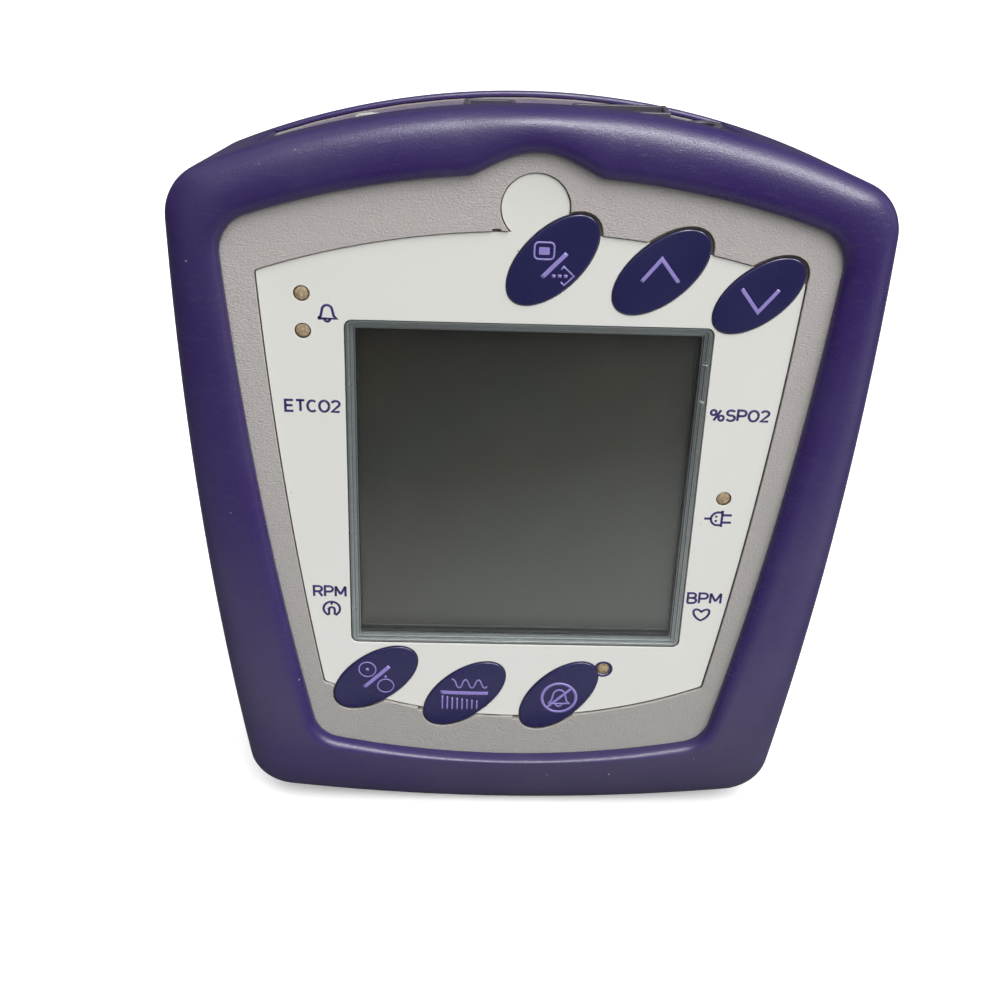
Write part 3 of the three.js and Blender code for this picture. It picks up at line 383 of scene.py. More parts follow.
BOOT_DRAFT, CASE_DRAFT = 4.5, 1.2
RIM_TOP, RIM_START = 5.0, -3.0  # crest of the rim, and where the wall starts to round over
DOME = 2.5  # squareness of the rim's outer face
FLARE = (1.3, 5.2, 4.2, 5.2)  # how far the inner slope runs out: bottom, right, top and left
MOUTH_FOOT = (1.1, 2.0)  # the short upright wall at the mouth
BEZEL_FACE = 0.8
BOOT_BACK, LIP_FRONT, LIP_REACH = -49.0, -46.8, 14.0
CAVITY = -4.4
NOTCH = dict(rise=5.5, foot=17.2, bow=1.4)  # the mouth's rise over the round badge
SLOT_X, SLOT_Z = (-76, 57), (-11, -46)


def notch_rise(x):
    return NOTCH["rise"] * max(1 - (x / NOTCH["foot"]) ** 2, 0) ** NOTCH["bow"]


outer = shield(BOOT)
mouth = shield(MOUTH)
count = len(outer)
spread = []
for i, steps in enumerate(EDGE_STEPS):
    spread += [FLARE[i]] * (steps + 1) + [(FLARE[i] + FLARE[(i + 1) % 4]) / 2] * CORNER_STEPS
spread = spread[:count] + [spread[-1]] * (count - len(spread))
SOFTEN = 22  # the flare changes over this many points to each side
flare = []
for i in range(count):
    near = [spread[(i + k) % count] for k in range(-SOFTEN, SOFTEN + 1)]
    flare.append(sum(near) / len(near))
crest, foot = [], []
for i, point in enumerate(mouth):
    along = (mouth[(i + 1) % count] - mouth[i - 1]).normalized()
    out = Vector((along.y, -along.x))
    rise = Vector((0, notch_rise(point.x) if point.y > 0 else 0))
    foot.append(point + rise)
    crest.append(point + rise + out * flare[i])

DOOR_SWING = (66, -95.2)  # half width and height that the lip leaves free for the battery door
BACK_ROUND = 2  # radius of the boot's back edge
SLOT_STEPS = 12


def lip(grow, slope, z):
    """One row of the lip round the back, kept clear of the battery door's swing."""
    row = [drafted(p, slope, z) for p in shield(BOOT, grow)]
    for point in row:
        if point.y < -80 and abs(point.x) < DOOR_SWING[0]:
            point.y = min(point.y, DOOR_SWING[1])
    return row


slot_rows = [SLOT_Z[0] + (SLOT_Z[1] - SLOT_Z[0]) * k / SLOT_STEPS for k in range(SLOT_STEPS + 1)]
rows = [
    lip(-LIP_REACH, CASE_DRAFT, LIP_FRONT),
    lip(-LIP_REACH + 0.3, CASE_DRAFT, (LIP_FRONT + BOOT_BACK) / 2),
    lip(-LIP_REACH + 1, BOOT_DRAFT, BOOT_BACK),
]
for grow in (-10, -7, -4, -2):
    rows.append([drafted(p, BOOT_DRAFT, BOOT_BACK) for p in shield(BOOT, grow)])
for share in (0.4, 0.75, 0.93):
    edge = BACK_ROUND - BACK_ROUND * math.sqrt(1 - (1 - share) ** 2)
    rows.append([drafted(p, BOOT_DRAFT, BOOT_BACK + BACK_ROUND * share**1.6) for p in shield(BOOT, -edge)])
outer_slot = len(rows)
for z in reversed(slot_rows):
    rows.append([drafted(p, BOOT_DRAFT, z) for p in outer])
rows.append([drafted(p, BOOT_DRAFT, -6) for p in outer])
for k in range(15):
    angle = math.pi / 2 * k / 14
    reach = 1 - max(math.cos(angle), 0) ** (2 / DOME)
    z = RIM_START + (RIM_TOP - RIM_START) * math.sin(angle) ** (2 / DOME)
    rows.append([drafted(o.lerp(c, reach), BOOT_DRAFT, z) for o, c in zip(outer, crest)])
for k in range(1, 9):
    angle = math.pi / 2 * k / 8
    z = MOUTH_FOOT[1] + (RIM_TOP - MOUTH_FOOT[1]) * math.cos(angle)
    rows.append([c.lerp(f, math.sin(angle)).to_3d() + Vector((0, 0, z)) for c, f in zip(crest, foot)])
cavity = shield(BOOT, CAVITY)
rows += [[p.to_3d() + Vector((0, 0, MOUTH_FOOT[0])) for p in line] for line in (foot, cavity)]
inner_slot = len(rows)
rows += [[drafted(p, CASE_DRAFT, z) for p in cavity] for z in slot_rows + [LIP_FRONT]]

shape = bmesh.new()
grid = [[shape.verts.new(p) for p in row] for row in rows]
columns = [i for i in range(count) if outer[i].y > 60 and SLOT_X[0] < outer[i].x < SLOT_X[1]]
first, last = min(columns), max(columns)
slot_edge = set()
for r, row in enumerate(grid):
    below = grid[(r + 1) % len(grid)]
    for c in range(count):
        in_rows = outer_slot <= r < outer_slot + SLOT_STEPS or inner_slot <= r < inner_slot + SLOT_STEPS
        if in_rows and first <= c < last:
            continue
        d = (c + 1) % count
        shape.faces.new((row[c], row[d], below[d], below[c]))


def skins(k, c):
    """The outer and inner vertices at step k of the slot's depth, counted from its front."""
    return grid[outer_slot + SLOT_STEPS - k][c], grid[inner_slot + k][c]


rim = [(0, c) for c in range(first, last)] + [(k, last) for k in range(SLOT_STEPS)]
rim += [(SLOT_STEPS, c) for c in range(last, first, -1)] + [(k, first) for k in range(SLOT_STEPS, 0, -1)]
for here, after in zip(rim, rim[1:] + rim[:1]):
    (a_out, a_in), (b_out, b_in) = skins(*here), skins(*after)
    shape.faces.new((a_out, a_in, b_in, b_out))
    slot_edge.add(shape.edges.get((a_out, b_out)))
bmesh.ops.recalc_face_normals(shape, faces=shape.faces)
bmesh.ops.bevel(shape, geom=list(slot_edge), offset=1.0, offset_type="OFFSET", segments=3, profile=0.5,
                affect="EDGES", clamp_overlap=True)


def rounded_block(shape, low, high, radius, segments=3):
    """A box with rounded edges, added to the shape."""
    middle = (Vector(low) + Vector(high)) / 2
    size = Vector(high) - Vector(low)
    placed = Matrix.Translation(middle) @ Matrix.Diagonal((*size, 1))
    made = bmesh.ops.create_cube(shape, size=1, matrix=placed)
    edges = {e for v in made["verts"] for e in v.link_edges}
    bmesh.ops.bevel(shape, geom=list(edges), offset=radius, segments=segments, profile=0.5, affect="EDGES")


FEET = dict(x=(38, 66), y=(-112, -104), z=(-45, -12), edge=2)
for side in (-1, 1):
    low, high = zip(sorted(side * x for x in FEET["x"]), FEET["y"], FEET["z"])
    rounded_block(shape, low, high, FEET["edge"])

rubber = Finish("boot_rubber", paint(58, 38, 108), 0.42, Specular_IOR_Level=0.4)
spot = rubber.spot
patches = spot.noise(0.018, 3).ramp((0.36, 0.0), (0.66, 1.0))
scuffs = spot.stretched(0.6, 0.6, 2.2).noise(0.35, 6, 0.7).ramp((0.55, 0.0), (0.78, 1.0))
dust = spot.cells(0.16).ramp((0.035, 1.0), (0.06, 0.0))
lint = spot.noise(0.4, 1).ramp((0.58, 0.0), (0.64, 1.0))
grain = spot.noise(3.0, 4)
facing = spot.node("NewGeometry", {}, {}, "Normal")
# Lighter and greyer where it faces up and a little forward: dust settled there, and painted light from above.
dust_and_top_light = facing.toward((0, -0.25, 1)).ramp((0.25, 0.0), (0.9, 1.0))
# A greyer tone towards its foot, which leaves out the inner slope.
greyer_low_outside = (spot.part("Z") * (-1 / 130) + 1.0).ramp((0.0, 0.0), (0.8, 1.0))  # greyer towards its foot
to_middle = spot.node(
    "VectorMath", {"operation": "MULTIPLY_ADD"}, {0: spot, 1: (-0.01, 0, -0.01), 2: (0, 0, 1.12)}
)
greyer_low_outside = greyer_low_outside * facing.toward(to_middle).ramp((0.0, 1.0), (0.34, 0.0))  # but not on the inner slope
# The grey-lilac share: patches and scuffs of wear, the lighter top (dust with painted light from above) and
# the greyer lower part.
film = patches * 0.25 + scuffs * 0.2 + dust_and_top_light * 0.15 + greyer_low_outside * 0.5
rubber_colour = film.mix(paint(46, 23, 94), paint(80, 75, 97))
specks = dust * lint
rubber.feed(
    Base_Color=specks.mix(rubber_colour, paint(186, 182, 192)),
    Roughness=film * 0.14 + 0.24 + grain * 0.05,
    Normal=(grain * 0.7 + scuffs * 0.3 + specks * 1.5).bump(0.11),
)
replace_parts(piece("boot_moulding", shape, rubber), "boot")

# ---- front bezel ---------------------------------------------------------------------------------------
# The front half of the case, moulded in warm grey plastic with a fine pebbled face. A shallow recess takes
# the membrane, its round badge and the ends of the keys, and a skirt runs back into the boot to the joint.

FIT, FILM_FIT = 0.3, 0.22  # gaps round the window, and round the keys and lamps in the film
PANEL_EDGE = dict(top=77, top_radius=226, upper=73.1, bow=1.8, lower=58.7, bottom=-78.3, bottom_radius=148,
                  upper_corner=0.8, lower_corner=1.2)
BADGE_CENTRE, BADGE_RADIUS = (0, 83.4), 8.84
KEY_LONG, KEY_SHORT = 15.3, 8.2
KEY_ANGLES = dict(menu=47.2, up=42.3, down=40.2, power=39, waveform=41.9, alarm_silence=47.5)
SHORTER = dict(down=0.925)  # one key is a little smaller than the others
LAMP_NAMES = ("lamp_alarm_high", "lamp_alarm_low", "lamp_mains", "lamp_silence")
LAMP_RADIUS = 2.0
WINDOW = (100, 103, 2)  # width, height and corner of the lens
RECESS_FLOOR, BEZEL_BACK, CASE_JOINT = -0.9, -3.0, -18.0
CASE_INSET, CASE_WALL = 4.7, 2.6  # how far the case's side is in from the boot's, and its thickness


def span(node):
    """The lowest and highest corners of a node's box, in the panel's frame."""
    corners = [PANEL.inverted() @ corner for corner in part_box(node)]
    return [Vector(choose(pair) for pair in zip(*corners)) for choose in (min, max)]


def middle_of(node):
    low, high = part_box(node)
    return PANEL.inverted() @ ((low + high) / 2)


def ellipse(centre, long, short, degrees=0.0, steps=96):
    turn = Matrix.Rotation(math.radians(degrees), 2)
    angles = [2 * math.pi * k / steps for k in range(steps)]
    return [Vector(centre) + turn @ Vector((long * math.cos(a), short * math.sin(a))) for a in angles]


def rounded_rectangle(width, height, corner, centre=(0, 0), steps=8):
    loop = []
    for quarter, (sx, sy) in enumerate(((1, -1), (1, 1), (-1, 1), (-1, -1))):
        hub = Vector(centre) + Vector((sx * (width / 2 - corner), sy * (height / 2 - corner)))
        for k in range(steps + 1):
            angle = math.pi / 2 * (quarter - 1 + k / steps)
            loop.append(hub + corner * Vector((math.cos(angle), math.sin(angle))))
    return loop


def triangles(loops, keep):
    """The loops' plane cut into triangles, with those whose list of loops around them keep() takes."""
    points = [p for loop in loops for p in loop]
    rounds, start = [], 0
    for loop in loops:
        order = list(range(start, start + len(loop)))
        area = sum(loop[i - 1].cross(loop[i]) for i in range(len(loop)))
        rounds.append(order if area > 0 else order[::-1])
        start += len(loop)
    found = geometry.delaunay_2d_cdt(points, [], rounds, 1, 1e-6)
    kept = [face for face, inside in zip(found[2], found[5]) if keep(set(inside))]
    return found[0], kept, found[3]


def outlines(loops, keep):
    """The edges of the kept area as closed outlines, each with the area on its left."""
    points, kept, _ = triangles(loops, keep)
    sides = {(a, b) for face in kept for a, b in zip(face, face[1:] + face[:1])}
    onward = {a: b for a, b in sides if (b, a) not in sides}
    found = []
    while onward:
        start, here = onward.popitem()
        loop = [start]
        while here != start:
            loop.append(here)
            here = onward.pop(here)
        found.append([points[i] for i in loop])
    return found


def mitre(before, after):
    """The way to the left at a bend between two directions, and how square it stands to them."""
    left = Vector((-before.y - after.y, before.x + after.x)).normalized()
    return left, left.dot(Vector((-before.y, before.x)))


def inset(loop, distance):
    """The loop moved to its left by this distance."""
    moved = []
    for i, point in enumerate(loop):
        before = (point - loop[i - 1]).normalized()
        after = (loop[(i + 1) % len(loop)] - point).normalized()
        left, square = mitre(before, after)
        moved.append(point + left * distance / max(square, 0.5))
    return moved


def plate(shape, loops, low, high, edge=0.0, steps=3):
    """A solid sheet inside the loops, from low to high, with its front edges rounded."""
    levels = [(0.0, low)]
    for k in range(steps + 1 if edge else 1):
        angle = math.pi / 2 * k / steps
        levels.append((edge * (1 - math.cos(angle)), high - edge * (1 - math.sin(angle))))
    stacks = []
    for depth, z in levels:
        moved = [inset(loop, depth) for loop in loops]
        stacks.append([[shape.verts.new((*p, z)) for p in loop] for loop in moved])
        if z in (low, high):
            points, faces, came_from = triangles(moved, lambda around: len(around) % 2)
            rim = [v for ring in stacks[-1] for v in ring]
            own = [rim[origin[0]] if origin else shape.verts.new((*points[i], z))
                   for i, origin in enumerate(came_from)]
            for face in faces:
                corners = [own[i] for i in (face if z == high else reversed(face))]
                if len(set(corners)) == 3 and not shape.faces.get(corners):
                    shape.faces.new(corners)
    for lower, upper in zip(stacks, stacks[1:]):
        for ring_low, ring_high in zip(lower, upper):
            for k in range(len(ring_low)):
                shape.faces.new((ring_low[k - 1], ring_low[k], ring_high[k], ring_high[k - 1]))


keys = {name: middle_of("key_" + name).xy for name in KEY_ANGLES}
lamps = {name: middle_of(name).xy for name in LAMP_NAMES}


def key_loop(name, grow=0.0, share=1.0):
    """A key's oval, grown by so many millimetres, or shrunk towards its middle."""
    share *= SHORTER.get(name, 1)
    return ellipse(keys[name], KEY_LONG * share + grow, KEY_SHORT * share + grow, KEY_ANGLES[name])


panel_steps = dict(steps=(50, 30, 70, 30), corner_steps=4)
case_edge = shield(BOOT, -CASE_INSET)
RECESS_GAP = 0.32
KEY_REACH = (0.85, 0.4)  # how far the recess runs past the upper and the lower keys
RECESS_STEPS = ((-28.7, -75.9, 2.2), (1.2, -78.7, 2.2), (-9.9, 77.0, 2.4))  # small notches: x, y, width
NOTCH_HEIGHT, NOTCH_CORNER = 1.5, 0.4
recess = outlines(
    [shield(PANEL_EDGE, RECESS_GAP, **panel_steps)]
    + [ellipse(BADGE_CENTRE, BADGE_RADIUS + RECESS_GAP, BADGE_RADIUS + RECESS_GAP)]
    + [key_loop(name, KEY_REACH[keys[name].y < 0]) for name in keys]
    + [rounded_rectangle(width, NOTCH_HEIGHT, NOTCH_CORNER, (x, y), 3) for x, y, width in RECESS_STEPS],
    lambda around: True,
)[0]
window_hole = rounded_rectangle(WINDOW[0] + 2 * FIT, WINDOW[1] + 2 * FIT, WINDOW[2] + FIT)
hole = LAMP_RADIUS + FILM_FIT
lamp_holes = [ellipse(place, hole, hole, steps=40) for place in lamps.values()]


def with_holes(outside, *holes):
    return outlines([outside, *holes], lambda around: around == {0})


BEZEL_EDGE = 0.22  # radius of the recess's upper edge
shape = bmesh.new()
plate(shape, with_holes(case_edge, recess), RECESS_FLOOR, BEZEL_FACE, BEZEL_EDGE)
plate(shape, with_holes(case_edge, window_hole, *lamp_holes), BEZEL_BACK, RECESS_FLOOR)
plate(shape, with_holes(case_edge, shield(BOOT, -CASE_INSET - CASE_WALL)), CASE_JOINT, BEZEL_BACK)
for vertex in shape.verts:
    vertex.co = drafted(vertex.co.xy, CASE_DRAFT, vertex.co.z)

case_plastic = Finish("case_grey", paint(178, 172, 171), 0.62, Specular_IOR_Level=0.4)
spot = case_plastic.spot
pebble = spot.stretched(1.0, 1.0, 1.6).noise(1.5, 3, 0.6)
coarse = spot.noise(0.35, 2)
mottle = spot.noise(0.02, 4).between(0.3, 0.7)
across, deep, height = (spot.part(axis) for axis in "XYZ")
TOP_RADIUS, TOP_HEIGHT, TALL = 227, 213.5, 220  # the curve and height of the case's top, and of the whole
# A mask over the case's top, which is darker there and carries the tinted strip.
on_case_top = ((height + across * across * (1 / 2 / TOP_RADIUS) - TOP_HEIGHT) * 0.5).ramp((0.0, 0.0), (1.0, 1.0))
stains = spot.noise(0.09, 6, 0.7).ramp((0.6, 0.0), (0.85, 1.0))
stains_and_dark_top = stains * 0.35 + on_case_top * 0.9
STRIP = dict(x=(-9.5, 64), y=(6.5, 15.5))  # a tinted strip round the connectors: middle and half width
from_middle = abs((deep - STRIP["y"][0]) * (1 / STRIP["y"][1]))
along_slot = abs((across - STRIP["x"][0]) * (1 / STRIP["x"][1]))
printed = from_middle.most(along_slot).ramp((0.97, 1.0), (1.0, 0.0)) * on_case_top
# Lighter towards the top and darker towards the foot: painted light from above, with a random mottle.
lit_top_and_mottle = height * (1 / TALL) * 0.8 + mottle * 0.25
tone = lit_top_and_mottle.mix(paint(164, 161, 158), paint(196, 189, 186))
case_plastic.feed(
    Base_Color=printed.mix(stains_and_dark_top.mix(tone, paint(136, 124, 122)), paint(92, 80, 108)),
    Roughness=pebble * 0.2 + 0.5,
    Normal=(pebble + coarse * 0.35).bump(0.4),
)
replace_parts(piece("bezel_moulding", shape, case_plastic), "front_bezel")
# A dark brown sheet on the recess floor paints the shade in the gaps round the membrane, badge and keys.
SHADE_SHEET_THICK = 0.05
shape = bmesh.new()
plate(shape, with_holes(recess, window_hole, *lamp_holes), RECESS_FLOOR, RECESS_FLOOR + SHADE_SHEET_THICK)
recess_shade_paint = Finish("recess_painted_shade", paint(84, 74, 66), 0.9)
recess_shade_paint.vary(recess_shade_paint.spot.noise(1.4, 5), paint(98, 86, 76), paint(146, 134, 122), (0.8, 1.0), 0.1)
piece("recess_painted_shade", shape, recess_shade_paint)

# ---- membrane panel ------------------------------------------------------------------------------------
# The white printed overlay, a thin textured film stuck into the bezel's recess. It is die-cut for the window,
# the keys and the lamps, and runs up into the round badge. Its legends are printed in indigo ink.

FILM, FILM_EDGE = 0.6, 0.12
film_loops = [shield(PANEL_EDGE, 0, **panel_steps), ellipse(BADGE_CENTRE, BADGE_RADIUS, BADGE_RADIUS)]
film_cuts = [window_hole] + [key_loop(name, FILM_FIT) for name in keys] + lamp_holes
film = outlines(film_loops + film_cuts, lambda around: around & {0, 1} and not around - {0, 1})
shape = bmesh.new()
plate(shape, film, -FILM, 0, FILM_EDGE)
film_white = Finish("panel_film", paint(232, 231, 227), 0.5, Specular_IOR_Level=0.35)
spot = film_white.spot
weave = spot.noise(4.0, 2)
yellowing = spot.noise(0.012, 3).between(0, 1)
speck = spot.cells(0.12).ramp((0.02, 1.0), (0.035, 0.0)) * spot.noise(0.3, 1).ramp((0.5, 0.0), (0.55, 1.0))
smears = spot.stretched(1, 1, 2).noise(0.06, 5, 0.65)
clean = yellowing.mix(paint(234, 234, 231), paint(229, 228, 220))
film_white.feed(
    Base_Color=speck.mix(clean, paint(120, 104, 84)),
    Roughness=smears.between(0.42, 0.6),
    Normal=weave.bump(0.012),
)
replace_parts(piece("membrane_film", shape, film_white), "membrane_panel")

PRINT, SUNK = 0.03, -0.1  # how far ink stands over what it is printed on, and how far it reaches in


def flat(x, y):
    return 0.0


def ribbon(shape, points, width, height=flat, closed=False, lift=PRINT):
    """A printed line of even width that follows the surface's height."""
    points = [Vector(p) for p in points]
    ends = len(points)
    rims = []
    for i, point in enumerate(points):
        before = point - points[i - 1] if closed or i else points[1] - points[0]
        after = points[(i + 1) % ends] - point if closed or i < ends - 1 else before
        before, after = before.normalized(), after.normalized()
        left, square = mitre(before, after)
        left *= width / 2 / max(square, 0.6)
        sides = []
        for way, drop in ((1, lift), (-1, lift), (-1, SUNK), (1, SUNK)):
            p = point + left * way
            sides.append(shape.verts.new((p.x, p.y, height(p.x, p.y) + drop)))
        rims.append(sides)
    for i in range(ends if closed else ends - 1):
        here, after = rims[i], rims[(i + 1) % ends]
        for k in range(4):
            m = (k + 1) % 4
            shape.faces.new((here[m], here[k], after[k], after[m]))
    if not closed:
        shape.faces.new(rims[0])
        shape.faces.new(list(reversed(rims[-1])))


def blot(shape, loop, height=flat, lift=PRINT):
    """A printed solid patch."""
    front = [shape.verts.new((p.x, p.y, height(p.x, p.y) + lift)) for p in loop]
    back = [shape.verts.new((p.x, p.y, height(p.x, p.y) + SUNK)) for p in loop]
    shape.faces.new(front)
    shape.faces.new(list(reversed(back)))
    for i in range(len(loop)):
        shape.faces.new((back[i - 1], back[i], front[i], front[i - 1]))


def bow(cx, cy, rx, ry, start, end, steps=14):
    """Points along part of an ellipse, by degrees."""
    angles = [math.radians(start + (end - start) * k / steps) for k in range(steps + 1)]
    return [(cx + rx * math.cos(a), cy + ry * math.sin(a)) for a in angles]


# Letters a unit high: their width, and the pen's strokes.
LETTERS = {
    "E": (0.66, [[(0.66, 1), (0, 1), (0, 0), (0.66, 0)], [(0, 0.52), (0.6, 0.52)]]),
    "T": (0.7, [[(0, 1), (0.7, 1)], [(0.35, 1), (0.35, 0)]]),
    "C": (0.74, [bow(0.39, 0.5, 0.39, 0.5, 48, 312, 22)]),
    "O": (0.8, [bow(0.4, 0.5, 0.4, 0.5, 0, 360, 28)]),
    "2": (0.62, [bow(0.31, 0.72, 0.31, 0.28, 165, -35, 14) + [(0, 0), (0.62, 0)]]),
    "S": (0.68, [bow(0.34, 0.75, 0.32, 0.25, 25, 250, 14) + bow(0.34, 0.26, 0.34, 0.26, 70, -160, 14)]),
    "P": (0.68, [[(0, 0), (0, 1), (0.38, 1)] + bow(0.38, 0.73, 0.3, 0.27, 80, -80, 10) + [(0, 0.46)]]),
    "R": (0.7, [[(0, 0), (0, 1), (0.4, 1)] + bow(0.4, 0.74, 0.28, 0.26, 80, -80, 10) + [(0, 0.48)],
                [(0.4, 0.48), (0.7, 0)]]),
    "B": (0.7, [[(0, 0), (0, 1), (0.38, 1)] + bow(0.38, 0.76, 0.26, 0.24, 80, -80, 8) + [(0, 0.52)],
                [(0.38, 0.52)] + bow(0.38, 0.26, 0.32, 0.26, 80, -80, 8) + [(0, 0)]]),
    "M": (0.84, [[(0, 0), (0, 1)], [(0, 1), (0.42, 0.2)],
                 [(0.42, 0.2), (0.84, 1)], [(0.84, 1), (0.84, 0)]]),
    "%": (1.1, [bow(0.22, 0.76, 0.22, 0.24, 0, 360, 16), bow(0.88, 0.24, 0.22, 0.24, 0, 360, 16),
                [(0.82, 1.0), (0.28, 0)]]),
}
INK, LETTER_GAP = 0.72, 0.24  # width of the pen, and the gap between letters a unit high


def word(shape, text, left, right, bottom, top):
    """A legend set between these edges."""
    high = top - bottom - INK
    natural = sum(LETTERS[c][0] for c in text) + LETTER_GAP * (len(text) - 1)
    wide = (right - left - INK) / natural
    x = left + INK / 2
    for character in text:
        width, strokes = LETTERS[character]
        for stroke in strokes:
            ribbon(shape, [(x + px * wide, bottom + INK / 2 + py * high) for px, py in stroke], INK)
        x += (width + LETTER_GAP) * wide


def bell(centre, size):
    """The outline of a hand bell with its clapper, as pen strokes."""
    x, y = centre
    body = [(-1, -0.66), (-0.7, -0.38), (-0.58, 0.2)] + bow(0, 0.25, 0.56, 0.62, 175, 5, 12)
    body += [(0.58, 0.2), (0.7, -0.38), (1, -0.66)]
    clapper = bow(0, -0.66, 0.3, 0.32, 180, 360, 8)
    return [[(x + px * size, y + py * size) for px, py in line] for line in (body + body[:1], clapper)]


shape = bmesh.new()
word(shape, "ETCO2", -67.3, -51.6, 24.4, 28.4)
word(shape, "%SPO2", 51.4, 68.5, 24.4, 28.3)
word(shape, "RPM", -61.4, -51.3, -35.8, -31.6)
word(shape, "BPM", 51.0, 61.7, -35.9, -31.7)
for line in bell((-54.6, 53.6), 2.5):
    ribbon(shape, line, INK)
LUNGS, HEART, PLUG = (-55.9, -39.8), (56.0, -39.4), (57.0, -6.5)
ribbon(shape, bow(*LUNGS, 2.45, 2.45, 246, -66, 30), INK)
wind = [(-0.85, -2.2), (-0.85, -0.3)] + bow(0, -0.3, 0.85, 0.85, 180, 0, 8) + [(0.85, -2.2)]
ribbon(shape, [(LUNGS[0] + x, LUNGS[1] + y) for x, y in wind], INK)
ribbon(shape, [(LUNGS[0], LUNGS[1] + 2.4), (LUNGS[0], LUNGS[1] + 1.4)], INK)
heart = []
for k in range(40):
    t = 2 * math.pi * k / 40
    across = 2.4 * math.sin(t) * abs(math.sin(t)) ** 1.1
    upward = (13 * math.cos(t) - 5 * math.cos(2 * t) - 2.4 * math.cos(3 * t)) * 0.145
    heart.append((HEART[0] + across, HEART[1] + upward))
ribbon(shape, heart, INK, closed=True)
plug_lines = [
    [(-3.6, 0), (-1.6, 0)],
    [(1.6, 2.1)] + bow(0.4, 0, 2.0, 2.1, 90, 270, 14) + [(1.6, -2.1)],
    [(1.6, -2.7), (1.6, 2.7)],
    [(1.6, -1.2), (4.4, -1.2)],
    [(1.6, 1.2), (4.4, 1.2)],
]
for line in plug_lines:
    ribbon(shape, [(PLUG[0] + x, PLUG[1] + y) for x, y in line], INK)
for y in (-0.72, 0.72):
    blot(shape, ellipse((PLUG[0] - 0.1, PLUG[1] + y), 0.4, 0.4, steps=12))
ink = Finish("legend_ink", paint(58, 48, 118), 0.45)
ink.vary(ink.spot.noise(1.6, 4), paint(50, 40, 108), paint(44, 34, 96), (0.35, 0.6), 0.01)
piece("legends", shape, ink)

# ---- keys ----------------------------------------------------------------------------------------------
# Six oval keys fan out over and under the window. Each is a domed navy cap with a printed lilac sign, on a
# plunger that meets a metal snap dome on the keypad board.

KEY_TOP, KEY_CROWN, KEY_EDGE = 0.85, 0.35, 0.55
KEY_BACK, PLUNGER_RADIUS, PLUNGER_END = -0.2, 3.0, -4.0


def key_height(name):
    """The height of a key's domed face at a place in the panel's frame."""
    centre = keys[name]
    back_turn = Matrix.Rotation(-math.radians(KEY_ANGLES[name]), 2)

    def height(x, y):
        local = back_turn @ (Vector((x, y)) - centre) / SHORTER.get(name, 1)
        square = (local.x / KEY_LONG) ** 2 + (local.y / KEY_SHORT) ** 2
        return KEY_TOP - KEY_CROWN * square

    return height


def loft(shape, rings):
    """Skin between rings of points with equal counts, with a cap at each end."""
    rows = [[shape.verts.new(p) for p in ring] for ring in rings]
    for lower, upper in zip(rows, rows[1:]):
        for k in range(len(lower)):
            shape.faces.new((lower[k - 1], lower[k], upper[k], upper[k - 1]))
    shape.faces.new(list(reversed(rows[0])))
    shape.faces.new(rows[-1])


key_navy = Finish("key_navy", paint(33, 31, 80), 0.3, Specular_IOR_Level=0.4)
spot = key_navy.spot
fingered = spot.noise(0.08, 2, 0.5)
orange_peel = spot.noise(0.25, 1)
key_navy.feed(
    Base_Color=fingered.mix(paint(30, 28, 76), paint(35, 34, 82)),
    Roughness=fingered.between(0.22, 0.34),
    Normal=orange_peel.bump(0.02),
)
lilac = Finish("key_print", paint(146, 130, 204), 0.5)
lilac.vary(lilac.spot.noise(1.3, 4), paint(138, 122, 198), paint(156, 142, 210), (0.4, 0.65), 0.01)
SIGN_LIFT, SIGN_STEP = 0.05, 0.8  # a sign stands over the cap, and follows its dome in short steps


